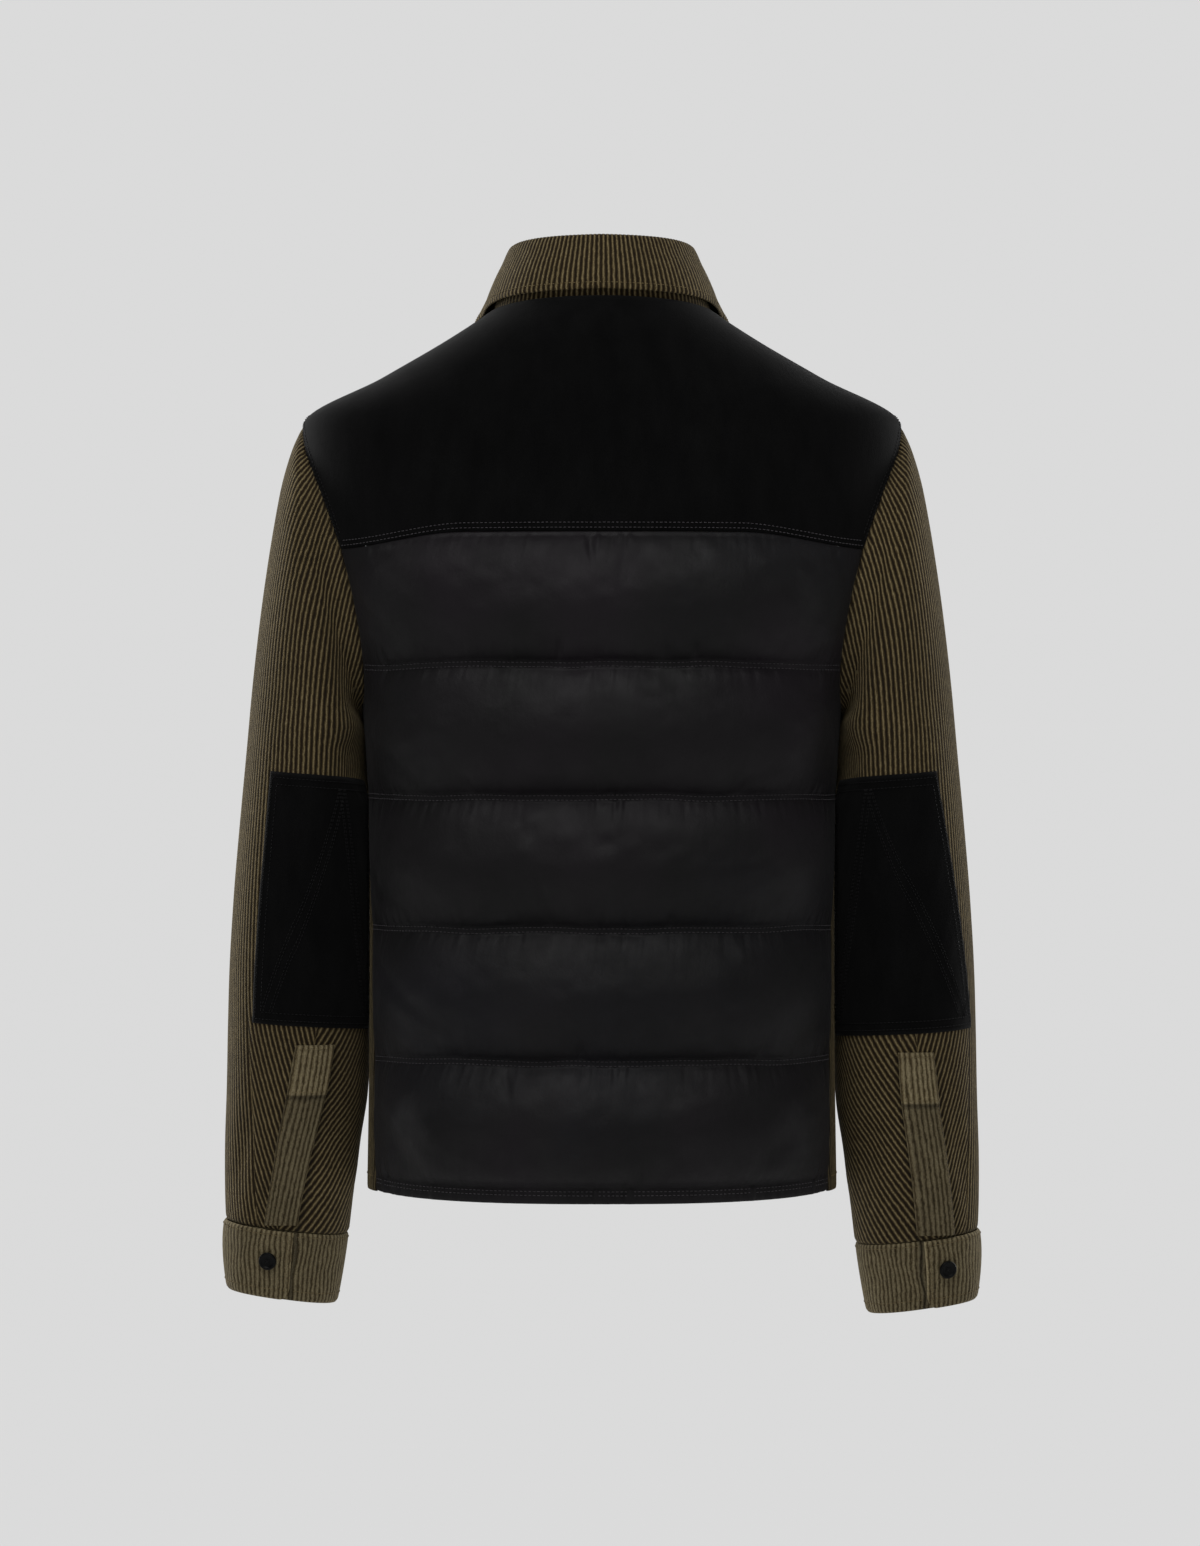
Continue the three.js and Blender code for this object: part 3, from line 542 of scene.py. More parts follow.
def sleeve(around, along):
    around, along = np.broadcast_arrays(np.asarray(around, float), np.asarray(along, float))
    n = np.minimum(np.floor(along), RINGS - 1).astype(int)
    t = (along - n)[..., None]
    edge = armhole_ring(around)[0]

    def ring(k):
        on_table = ring_point(SLEEVE[np.clip(k, 1, RINGS) - 1], around)
        return np.where((k <= 0)[..., None], edge, on_table)

    a, b, c, d = ring(n - 1), ring(n), ring(n + 1), ring(n + 2)
    second = 2 * a - 5 * b + 4 * c - d
    third = 3 * (b - c) + d - a
    return 0.5 * (2 * b + (c - a) * t + second * t**2 + third * t**3)


def sleeve_normal(around, along):
    around, along = np.broadcast_arrays(np.asarray(around, float), np.asarray(along, float))
    step = np.clip(along, 0.02, 0.2)
    side = sleeve(around + 2, along) - sleeve(around - 2, along)
    down = sleeve(around, along + step) - sleeve(around, along - step)
    return unit(np.cross(down, side))


# Hangs a left sleeve's point a little lower and mirrors it, as the arm asks
def on_arm(arm, point, normal):
    drop = arm["drop"] * smooth((DROP_FROM - point[..., 2]) / (DROP_FROM - DROP_TO))
    sides = np.array([arm["side"], 1, 1])
    return (point - drop[..., None] * np.array([0, 0, 1])) * sides, normal * sides


# The sleeve's inside with its folds, and its normal
def on_sleeve(arm, around, along):
    around, along = np.broadcast_arrays(np.asarray(around, float), np.asarray(along, float))
    point, normal = sleeve(around, along), sleeve_normal(around, along)
    normal = np.where((along < 0.01)[..., None], armhole_ring(around)[1], normal)
    depth = relief(around, point[..., 2], FOLDS) + relief(around, point[..., 2], CREASES)
    depth = depth * smooth((along - 1) / 2)
    return on_arm(arm, point + normal * depth[..., None], normal)


def sleeve_along(around, z, top=1.0):
    around, z = np.broadcast_arrays(np.asarray(around, float), np.asarray(z, float))
    high, low = np.full(around.shape, float(top)), np.full(around.shape, float(RINGS))
    for _ in range(26):
        half = (high + low) / 2
        above = sleeve(around, half)[..., 2] > z
        high, low = np.where(above, half, high), np.where(above, low, half)
    return high


def sleeve_at(arm, around, z):
    return on_sleeve(arm, around, sleeve_along(around, z))


def placket_middle(arm, z):
    return mix(arm["slit"][0], arm["slit"][1], (z - SLIT_TOP) / (SLIT_BOTTOM - SLIT_TOP))


# Heights of the sleeve's rows: close together over the shoulder, tilted with the cuff below
def sleeve_rows(angles):
    top = ARMHOLE_MIDDLE + ARMHOLE_HALF * cosine(np.arange(2.5, 62, 3.2))
    middle = np.linspace(top[-1] - 5, -650, 70)
    low = np.linspace(-656, -704, 10)
    heights = np.concatenate([top, middle, low, [-707.5, -709.3, -710.5]])
    tilt = 5.5 * smooth((-640 - heights) / 60)[:, None]
    return heights, heights[:, None] + tilt * power(cosine(angles), 2 / SLEEVE_SQUARENESS)[None]


# A line down the sleeve, in millimetres round it, that follows an angle below the elbow
def turning_line(angle, heights, angles, lengths):
    follows = read_rows(angle, angles, lengths)
    first = np.argmin(np.abs(heights - WALE_TURN))
    start = WALE * round(follows[first] / WALE)
    return np.where(heights > heights[first], start, follows + start - follows[first])


# Steps from below one number to above another, whole wales at a time
def wale_steps(low, high):
    first, last = math.floor(low / WALE_SAMPLES), math.ceil(high / WALE_SAMPLES)
    return np.arange(WALE_SAMPLES * first, WALE_SAMPLES * (last + 1))


# Three families of wales: straight ones outside, and two that lean in to the placket's middle
# Where a family runs out at its border, its wales wait there with no width
def wale_places(arm, heights, angles, lengths, high):
    step = WALE_STEP
    fall = (heights - WALE_TURN) / (SLIT_BOTTOM - WALE_TURN)
    part = turning_line(mix(*arm["part"], np.clip(fall, 0, 1)), heights, angles, lengths)
    middle = turning_line(placket_middle(arm, np.minimum(heights, WALE_TURN)), heights, angles, lengths)
    down = np.maximum(WALE_TURN - heights, 0)
    eased = down**2 / (down + LEAN_EASE)
    outside, inside = (eased * math.tan(math.radians(a)) for a in arm["lean"])
    wide = mix(1, 1 / cosine(arm["lean"][1]), smooth(down / 15)) * step
    top_part, top_middle = part[0], middle[0]
    straight = wale_steps(-260 / step, part.max() / step)
    first = ((part - top_part - outside) / step).min()
    leaning = wale_steps(first, (middle.max() - top_part) / step)
    entering = ((high - top_middle + inside) / wide).max()
    across = wale_steps(((middle - top_middle + inside) / wide).min(), entering)
    places = np.hstack([
        np.minimum(straight[None] * step, part[:, None]),
        np.clip(top_part + leaning[None] * step + outside[:, None], part[:, None], middle[:, None]),
        np.maximum(top_middle + across[None] * wide[:, None] - inside[:, None], middle[:, None]),
    ])
    counts = (straight[0] + np.arange(places.shape[1])) / WALE_SAMPLES
    return places, counts, part[:, None], middle[:, None]


# The wales on each of the sleeve's rows: degrees round the arm, heights, counts, and the painted shade
# beside the placket's edges
def sleeve_wales(arm):
    angles = np.linspace(-180, 180, 241)
    outside = len(angles) // 2
    heights, z = sleeve_rows(angles)
    along = sleeve_along(angles[None], z, 0.0)
    grid = sleeve(angles[None], along)
    rim = sleeve(angles, 0.0)[:, 2]
    back_end = np.interp(-heights, -rim[outside:], angles[outside:])
    front_end = np.interp(-heights, -rim[outside::-1], angles[outside::-1])
    front_end[heights < rim.min()], back_end[heights < rim.min()] = -180, 180
    lengths = level_lengths(grid)
    lengths = lengths - lengths[:, [outside]]
    lows = read_rows(front_end, angles, lengths)[:, None]
    highs = read_rows(back_end, angles, lengths)[:, None]
    places, counts, part, middle = wale_places(arm, heights, angles, lengths, highs[:, 0])
    near = np.minimum(np.abs(places - part), np.abs(places - middle))
    places = np.clip(places, lows, highs)
    kept = np.flatnonzero(((places > lows) & (places < highs)).any(axis=0))
    kept = np.arange(kept[0] - 1, kept[-1] + 2)
    places, near, counts = places[:, kept], near[:, kept], counts[kept]
    around = find_rows(places, angles, lengths)
    edges = np.minimum(places - lows, highs - places)
    rows_z = read_rows(around, angles, z)
    open_rows = int(np.sum(heights > rim.min())) + 1
    below = smooth((SLIT_TOP - heights) / 6)[:, None]
    off = places - middle
    # Painted shade: darker beside both edges of the placket, below its top
    shade = -0.85 * band(off - SLIT_HALF - 1.5, 2.2) - 0.5 * band(off + SLIT_HALF + 1, 1.6)
    return around, rows_z, counts, edges, heights, open_rows, near, shade * below


def sleeve_piece(arm, materials):
    around, z, counts, edges, heights, open_rows, near, shade = sleeve_wales(arm)
    along = sleeve_along(around, z, 0.0)
    point, normal = on_sleeve(arm, around, along)
    from_top = np.linalg.norm(sleeve(around, along) - sleeve(around, 0.0), axis=-1)
    ends = np.minimum(from_top, (heights - heights[-1])[:, None])
    seam = np.where(heights[:, None] > UNDERARM, from_top, edges)
    face = CORDUROY + ribs(counts)[None] * smooth(np.minimum(seam, ends) / 2) * smooth(near / 0.9)
    face = face - turned(seam, 0.9, 1.2) - turned(ends, 0.9, 1.4)
    outer = point + normal * face[..., None]
    inner = point - normal * (0.9 * smooth(np.minimum(seam, ends) / 8))[..., None]
    # Painted shade: darker within a few millimetres of the armhole seam, where the sleeve meets the
    # body
    shade = shade - 0.4 * band(from_top, 4)
    threads = thread_table(counts[None], heights[:, None] / WALE, shade)
    name = f"sleeve_cloth_{arm['name']}"
    return cloth(name, outer, inner, threads, materials, (2, 8), side_rows=open_rows)


# Soft folds of the fronts: azimuth, height, depth, width in degrees, length, slant
FRONT_FOLDS = [
    (118, -330, -3.0, 7, 60, 0.06),
    (128, -420, 2.2, 8, 110, 0.03),
    (112, -560, -2.6, 7, 90, -0.02),
    (143, -300, -1.8, 9, 90, 0.05),
    (150, -520, 2.0, 9, 120, -0.03),
    (134, -610, -2.0, 7, 70, 0.03),
    (125, -190, -1.8, 8, 45, 0.1),
    (105, -440, -1.6, 5, 50, 0.08),
    (160, -380, 1.2, 6, 80, 0),
]


# A front's rows: their heights, and the azimuths at which they start and end
def front_rows(side):
    edge = CENTRE_EDGE if side > 0 else SEAM_GAP - CENTRE_EDGE
    heights = np.concatenate([
        [FRONT_HEM, FRONT_HEM + 1.5, FRONT_HEM + 4],
        np.linspace(FRONT_HEM + 12, UNDERARM, 42),
        np.linspace(UNDERARM + 6, SEAM_NECK_Z - 5, 52),
        [SEAM_NECK_Z - 2, SEAM_NECK_Z - SEAM_GAP],
    ])
    gap = np.degrees(SEAM_GAP / torso_size(heights)[..., 0])
    start = front_edge(heights) + (gap + np.where(heights > SEAM_ARM_Z - 1, 0.2, 0))
    end = front_azimuth(edge, heights)
    end = np.where(heights > NECK_FRONT_Z, np.minimum(end, neck_azimuth(heights)), end)
    return heights, start, np.maximum(end, start + 0.8)


# A corduroy front, with its wales counted from the middle of the jacket
def front_piece(side, name, materials):
    heights, start, end = front_rows(side)
    angles = np.linspace(60, 186, 505)
    lengths = level_lengths(torso(angles[None], heights[:, None]))
    middle = read_rows(np.full(len(heights), 180), angles, lengths)[:, None]
    lines = np.arange(-14, 300, WALE_STEP)
    low, high = (read_rows(places, angles, lengths)[:, None] for places in (start, end))
    places = np.clip(middle - lines[None], low, high)
    around = find_rows(places, angles, lengths)
    edges = np.minimum(places - low, high - places)
    ends = np.minimum(heights - heights[0], (heights[-1] - heights) * 3)[:, None]
    point, normal = torso_face(side * around, heights[:, None])
    point[0, :, 2] = FRONT_HEM + HEM_RISE * sine(around[0]) ** 4
    drape = relief(around, heights[:, None], FRONT_FOLDS, 720) * smooth(edges / 25)
    face = CORDUROY + ribs(lines / WALE)[None] * smooth(edges / 2) - turned(edges) - turned(ends)
    outer = point + normal * (face + drape)[..., None]
    inner = point + normal * drape[..., None]
    # Painted shade: darker within about 10 mm of the side seam, under the overhanging down back
    shade = -0.9 * band(places - low, 10)
    threads = thread_table(lines[None] / WALE, heights[:, None] / WALE, shade)
    return cloth(f"front_cloth_{name}", outer, inner, threads, materials)


def placket_piece(materials):
    heights = np.concatenate([
        [FRONT_HEM, FRONT_HEM + 1.5, FRONT_HEM + 4],
        np.linspace(FRONT_HEM + 12, NECK_FRONT_Z - 8, 72),
        [NECK_FRONT_Z - 3, NECK_FRONT_Z - 1],
    ])
    x = np.linspace(-PLACKET_HALF, PLACKET_HALF, 41)
    azimuth = front_azimuth(x[None], heights[:, None])
    point, normal = torso_face(azimuth, heights[:, None])
    low = CORDUROY + SEAM_GAP
    edges = edge_distance(heights, x)
    counts = x / WALE + 0.5
    wavy = 0.35 * wave(heights, 34, 2)[:, None] * np.abs(x / PLACKET_HALF)[None] ** 2
    face = low + PLACKET_THICK + ribs(counts)[None] * smooth(edges / 2) - turned(edges) + wavy
    outer = point + normal * face[..., None]
    inner = point + normal * low
    threads = thread_table(counts[None], heights[:, None] / WALE)
    return cloth("front_placket_cloth", outer, inner, threads, materials, (3, 5))


# The yoke's lower border, as azimuths and heights from one shoulder round the back to the other
def yoke_border():
    back = np.linspace(0, 1, 71)
    arms = np.linspace(YOKE_SEAM_ARM, SHOULDER_SEAM_ARM, 48)[1:]
    arm_azimuth, arm_z = armhole(arms)
    seam_z = np.linspace(SEAM_ARM_Z, SEAM_NECK_Z, 22)[1:]
    azimuth = np.concatenate([YOKE_CORNER * back, arm_azimuth, shoulder_seam(seam_z)])
    z = np.concatenate([yoke_seam(back), arm_z, seam_z])
    return np.concatenate([-azimuth[:0:-1], azimuth]), np.concatenate([z[:0:-1], z])


# Shallow shapes in the yoke where it drapes over the shoulders, in the terms of the fronts' folds
YOKE_FOLDS = [
    (26, -120, -1.3, 7, 40, 0.1),
    (-30, -100, 1.1, 8, 45, -0.1),
    (8, -140, 0.8, 9, 20, 0.3),
    (55, -110, 1.0, 7, 30, 0.3),
    (-58, -120, -1.1, 7, 34, -0.25),
]


# The suede yoke: each column runs down from the neckline to the back seam or over the shoulder
def yoke_piece(materials):
    azimuth, bottom = yoke_border()
    down = np.concatenate([[0, 0.012, 0.03], np.linspace(0.06, 0.94, 36), [0.97, 0.988, 1]])
    z = mix(neck_height(np.abs(azimuth))[None], bottom[None], down[:, None])
    azimuth = np.broadcast_to(azimuth[None], z.shape)
    point, normal = torso_face(azimuth, z)
    reach = np.linalg.norm(np.diff(point, axis=0), axis=-1).sum(axis=0)
    edges = np.minimum(down[:, None], 1 - down[:, None]) * reach[None]
    drape = relief(azimuth, z, YOKE_FOLDS, 720) * smooth(edges / 14)
    face = SUEDE - turned(edges, 1.3, 1.6) + 0.25 * band(edges - 4, 2.5) + drape
    outer = point + normal * face[..., None]
    threads = thread_table(azimuth / 2, z / WALE, band(edges - 0.5, 1.6))
    return cloth("yoke_suede", outer, point, threads, materials, (3, 4))


def baffle_line(n, across):
    if n == 0:
        return yoke_seam(across) - SEAM_GAP
    if n == BAFFLES:
        return HEM_STITCH + HEM_RISE * np.abs(across) ** 4
    return YOKE_SEAM - BAFFLE_PITCH * n + 0.9 * wave(np.asarray(across) * BACK_HALF, 110, n)


# The down: half the back's width, share of its loft, how it sags and rounds, flat strip by a seam
BACK_HALF = 200
DOWN_FULL = 0.97
DOWN_SAG = 1.2
DOWN_ROUNDNESS = 0.62
SEAM_FLAT = 3.2

# Creases in the down: across from -1 to 1, height, depth, width across, length, slant across
DOWN_FOLDS = [
    (0.80, -205, -2.2, 0.05, 22, 0.004),
    (0.66, -252, -1.8, 0.05, 24, 0.005),
    (0.90, -240, -1.8, 0.04, 20, 0.005),
    (-0.28, -262, -2.2, 0.035, 18, 0.0012),
    (-0.80, -250, -2.0, 0.06, 26, -0.004),
    (0.12, -300, 1.4, 0.09, 30, 0),
    (-0.45, -345, -1.6, 0.05, 22, 0.002),
    (0.72, -355, -1.8, 0.05, 22, 0.004),
    (-0.85, -360, -2.2, 0.06, 24, -0.003),
    (0.34, -410, 1.2, 0.09, 24, 0.001),
    (-0.62, -455, -1.8, 0.05, 20, -0.003),
    (0.86, -445, -1.8, 0.05, 22, 0.004),
    (0.84, -515, -2.6, 0.05, 26, 0.006),
    (0.70, -560, -2.0, 0.05, 18, 0.006),
    (-0.86, -555, -2.2, 0.06, 22, -0.004),
    (-0.10, -548, -1.4, 0.05, 20, 0.001),
    (0.30, -640, -1.2, 0.05, 18, 0.002),
    (-0.70, -640, -1.8, 0.06, 20, -0.003),
    (0.80, -650, -1.6, 0.05, 18, 0.003),
    (0.20, -263, -2.6, 0.016, 9, 0),
    (-0.42, -264, -2.4, 0.016, 9, 0),
    (0.06, -183, -1.8, 0.018, 12, 0.001),
    (-0.52, -367, -2.2, 0.018, 9, -0.001),
    (0.50, -366, -2.0, 0.016, 9, 0.001),
    (0.24, -458, -2.2, 0.02, 20, 0.001),
    (-0.30, -467, -2.0, 0.016, 9, 0),
    (-0.66, -566, -2.2, 0.018, 10, -0.001),
    (0.10, -566, -1.8, 0.016, 9, 0),
    (0.42, -590, -1.8, 0.018, 11, 0.001),
    (-0.18, -658, -1.8, 0.016, 9, 0),
]


# How much closer together the back's columns lie towards its sides, where it turns away
BACK_BUNCHING = math.pi / 2 * 0.72


def back_rows():
    steps = np.concatenate([
        [0, 0.012, 0.026, 0.045, 0.075],
        np.linspace(0.11, 0.89, 22),
        [0.925, 0.955, 0.974, 0.988],
    ])
    rows = [(n, up) for n in range(BAFFLES) for up in steps]
    return rows + [(BAFFLES, up) for up in (0, 0.15, 0.4, 0.7, 0.9, 1)]


# The quilted back by shares across: heights, how far the down lifts the cloth, and the way to a seam
def back_grid(across):
    heights, lifts, near = [], [], []
    for n, up in back_rows():
        if n == BAFFLES:
            low = BACK_HEM + HEM_RISE * np.abs(across) ** 4
            heights.append(mix(baffle_line(n, across), low, up))
            lifts.append(0 * across)
            near.append(0 * across + 3 + 4 * up)
            continue
        top, bottom = baffle_line(n, across), baffle_line(n + 1, across)
        z = mix(top, bottom, up)
        azimuth = across * back_edge(z)
        share = np.clip((top - z - SEAM_FLAT) / (top - bottom - 2 * SEAM_FLAT), 0, 1)
        ends = (1 - np.abs(across) ** 12) * smooth((86 - np.abs(azimuth)) / 36)
        full = np.sin(math.pi * share**DOWN_SAG) ** DOWN_ROUNDNESS * (0.06 + 0.94 * ends)
        uneven = 1 + 0.05 * wave(across * BACK_HALF + 90 * n, 130, n) + 0.03 * wave(z, 70, n + 3)
        heights.append(z)
        lifts.append(BAFFLE_LOFT * DOWN_FULL * full * uneven)
        near.append(np.minimum(top - z, z - bottom))
    return np.array(heights), np.array(lifts), np.array(near)


# Small puckers that the quilting thread draws in, deepest beside the seam
def puckers(x, near, z):
    size = 0.5 + 0.5 * wave(x, 90, 5)
    beside = np.exp(-np.maximum(near - 3.5, 0) / 9) * smooth((near - 1.2) / 2.5)
    small = wave(x + 0.12 * z, 8.5, 1) * 0.6 + wave(x - 0.08 * z, 19, 2) * 0.8
    return small * beside * (0.3 + 1.1 * size**2)


def back_piece(material):
    across = np.sin(np.linspace(-1, 1, 401) * BACK_BUNCHING) / math.sin(BACK_BUNCHING)
    z, lift, near = back_grid(across)
    azimuth = across[None] * back_edge(z)
    point, normal = torso_face(azimuth, z)
    x = level_lengths(point)
    x = x - x[:, [len(across) // 2]]
    edges = np.minimum(across[None] + 1, 1 - across[None]) * BACK_HALF
    fade = smooth(lift / 6)
    creases = relief(across[None], z, DOWN_FOLDS, 8) * fade
    small = puckers(x, near, z) * smooth(edges / 12)
    soft = 0.8 * wave(x + z * 0.3, 46, 3) * wave(z * 1.3 - x * 0.2, 37, 4)
    soft = (soft + 1.2 * wave(x + z * 0.5, 130, 6) * wave(z - x * 0.3, 75, 7)) * fade
    row = np.arange(len(z))
    ends = np.minimum(row * 1.2, row[::-1] * 1.6)[:, None]
    face = NYLON_SEAM + lift + creases + small + soft
    face = face - turned(edges, 1.6, 1.6) - turned(ends, 1.4, 1.4)
    face = np.maximum(face, 0.8)
    outer = point + normal * face[..., None]
    threads = thread_table(x / WALE, z / WALE)
    return cloth("back_down", outer, point, threads, [material, material], (3, 6))


def fold_radius(azimuth):
    s, c = sine(azimuth), cosine(azimuth)
    return 1 / np.hypot(s / FOLD_HALF_WIDTH, c / np.where(c > 0, FOLD_BACK, FOLD_FRONT))


def outward_at(azimuth):
    return np.stack([sine(azimuth), cosine(azimuth), 0 * azimuth], -1)


# The way out from the neck and up, by azimuth
def out_and_up(azimuth, out, rise):
    return outward_at(azimuth) * out + np.array([0, 0, rise])


def fold_line(azimuth):
    fold = outward_at(azimuth) * fold_radius(azimuth)[..., None]
    fold[..., 2] = collar_size(np.abs(azimuth))[..., 0]
    return fold


# The collar's stand at given azimuths: rows of points with their normals
def stand_grid(azimuth, rows):
    size = np.abs(azimuth)
    base, fold = torso(azimuth, neck_height(size) + 0.1), fold_line(azimuth)
    lean = torso_normal(azimuth, neck_height(size))
    points, normals = [], []
    for share in np.linspace(0, 1, rows):
        points.append(mix(base, fold, share))
        normals.append(unit(mix(lean, outward_at(azimuth), float(smooth(share * 1.6)))))
    return np.array(points), np.array(normals)


def stand_piece(materials):
    rough = np.linspace(-STAND_END, STAND_END, 601)
    middle = stand_grid(rough, 3)[0][1]
    azimuth, at = evenly(rough, middle, WALE_STEP)
    points, normals = stand_grid(azimuth, STAND_ROWS)
    counts = at / WALE
    edges = edge_distance(np.linspace(0, STAND_TALL, STAND_ROWS), at)
    rib = ribs(counts)[None] * 0.7 * smooth(edges / 2)
    outer = points + normals * (CORDUROY - 0.4 + rib - turned(edges, 0.6))[..., None]
    inner = points - normals * (rib * 0.6 - turned(edges, 0.5))[..., None] * 0.8
    threads = thread_table(counts[None], np.linspace(0, 13, STAND_ROWS)[:, None])
    return cloth("collar_stand_cloth", outer, inner, threads, [materials[0]] * 2, (1, 1))


# A vector's length seen from above
def level_length(vector):
    return np.hypot(vector[..., 0], vector[..., 1])


# How far out the leaf stays clear of the panels, and of the stand above them
def leaf_radius(azimuth, z):
    neck = neck_height(np.abs(azimuth))
    at, normal = torso_face(azimuth, np.minimum(z, neck))
    on_panel = level_length(at) + (SUEDE + LEAF_CLEAR) / level_length(normal)
    fold_z = collar_size(np.abs(azimuth))[..., 0]
    share = np.clip((z - neck) / (fold_z - neck), 0, 1)
    above = mix(on_panel, fold_radius(azimuth) + CORDUROY + LEAF_CLEAR, share)
    return np.where(z <= neck, on_panel, above)


# The leaf's inner points and the way its face looks, from the fold down to its edge
def leaf_grid(azimuth, shares):
    size = np.abs(azimuth)
    values = collar_size(size)
    fold, edge, spread = values[..., 0], values[..., 1], values[..., 2]
    end_size = size + spread
    end_azimuth = np.sign(azimuth) * end_size
    neck_z = neck_height(end_size)
    neck = torso(end_azimuth, neck_z)
    start = fold_radius(azimuth) + CORDUROY + 1.6
    reach = leaf_radius(end_azimuth, edge)
    end = np.maximum(reach, level_length(neck) + LEAF_OUTSIDE)
    on_chest = smooth((neck_z - edge) / 25)
    chest = torso_normal(end_azimuth, edge)
    points, faces = [], []
    for share in shares:
        at = mix(azimuth, end_azimuth, share)
        z = mix(fold - 1.5, edge, share)
        hanging = mix(start, end, share) + LEAF_BOW * math.sin(math.pi * share)
        radius = np.maximum(hanging, leaf_radius(at, z))
        point = outward_at(at) * radius[..., None]
        point[..., 2] = z
        points.append(point)
        faces.append(unit(mix(outward_at(at), chest, (on_chest * share)[..., None])))
    return np.array(points), np.array(faces)


# The rows that roll over the top of the stand, as out and up from the fold line
LEAF_ROLL_INNER = [(0.4, 0.5), (2.2, 0.9), (3.4, 0.3)]
LEAF_ROLL_OUTER = [(0.0, 2.3), (1.4, 3.0), (3.2, 3.0), (4.8, 2.0), (5.7, 0.4)]
LEAF_ROLL_FACING = [(0, 1), (0.3, 1), (0.7, 0.8), (1, 0.5), (1, 0.2)]


def leaf_piece(materials):
    rough = np.linspace(-LEAF_END, LEAF_END, 601)
    middle = leaf_grid(rough, [0.5])[0][0]
    azimuth, at = evenly(rough, middle, WALE_STEP)
    shares = np.concatenate([[0.02], np.linspace(0.1, 0.9, 9), [0.95, 0.985, 1]])
    points, faces = leaf_grid(azimuth, shares)
    fold = fold_line(azimuth)
    roll = [fold + out_and_up(azimuth, out, rise) for out, rise in LEAF_ROLL_OUTER]
    under = [fold + out_and_up(azimuth, out, rise) for out, rise in LEAF_ROLL_INNER]
    under += [under[-1] * 0.5 + points[0] * 0.5] * 2
    counts = at / WALE
    away = np.concatenate([np.full(len(roll), LEAF_TALL), (1 - shares) * LEAF_TALL])
    sides = np.minimum(at, at[-1] - at)
    edges = np.minimum(away[:, None], sides[None])
    rib = ribs(counts)[None] * smooth(edges / 2) * 0.95
    lift = np.concatenate([np.zeros(len(roll)), np.full(len(shares), LEAF - 0.2)])
    rolling = [unit(out_and_up(azimuth, out, rise)) for out, rise in LEAF_ROLL_FACING]
    facing = np.concatenate([rolling, faces])
    base = np.concatenate([roll, points])
    outer = base + facing * (lift[:, None] + rib - turned(edges, 0.9, 1.2))[..., None]
    inner = np.concatenate([under, points])
    shade = 0.4 * band(edges, 1.5)
    along = np.linspace(0, 15, len(base))[:, None]
    threads = thread_table(counts[None], along, shade)
    return cloth("collar_leaf_cloth", outer, inner, threads, materials, (1, 4))


# Degrees round the arm and height of a place on the elbow patch, by shares across and down
def patch_place(arm, across, down):
    edge = mix(arm["patch"][0], arm["patch"][1], down)
    around = mix(edge, PATCH_INNER, across)
    return around, mix(PATCH_TOP, PATCH_BOTTOM, down) - PATCH_SLANT * across


# A suede elbow patch on the sleeve, with turned edges
def patch_piece(arm, materials):
    across, down = np.linspace(0, 1, 57), np.linspace(0, 1, 81)
    across = mix(across, smooth(across), 0.4)
    down = mix(down, smooth(down), 0.4)
    around, z = patch_place(arm, across[None], down[:, None])
    point, normal = sleeve_at(arm, around, z)
    edges = edge_distance(down * PATCH_TALL, across * arm["patch_wide"])
    top = PATCH_FACE - turned(edges, 1.5, 1.3) + 0.3 * band(edges - 3, 2.2)
    top = top + 0.25 * wave(around * 1.2 + z * 0.5, 31, 6) * smooth(edges / 12)
    outer = point + normal * top[..., None]
    inner = point + normal * PATCH_UNDER
    threads = thread_table(around / 2, z / WALE, band(edges - 0.5, 1.4))
    return cloth(f"elbow_suede_{arm['name']}", outer, inner, threads, materials, (4, 4))


# Degrees round the arm of a place on the sleeve placket, from -1 to 1 across it
def slit_place(arm, across, z):
    middle = placket_middle(arm, z)
    one = sleeve(middle + 5, sleeve_along(middle + 5, z))
    other = sleeve(middle - 5, sleeve_along(middle - 5, z))
    per_degree = np.linalg.norm(one - other, axis=-1) / 10
    return middle + SLIT_HALF / per_degree * across


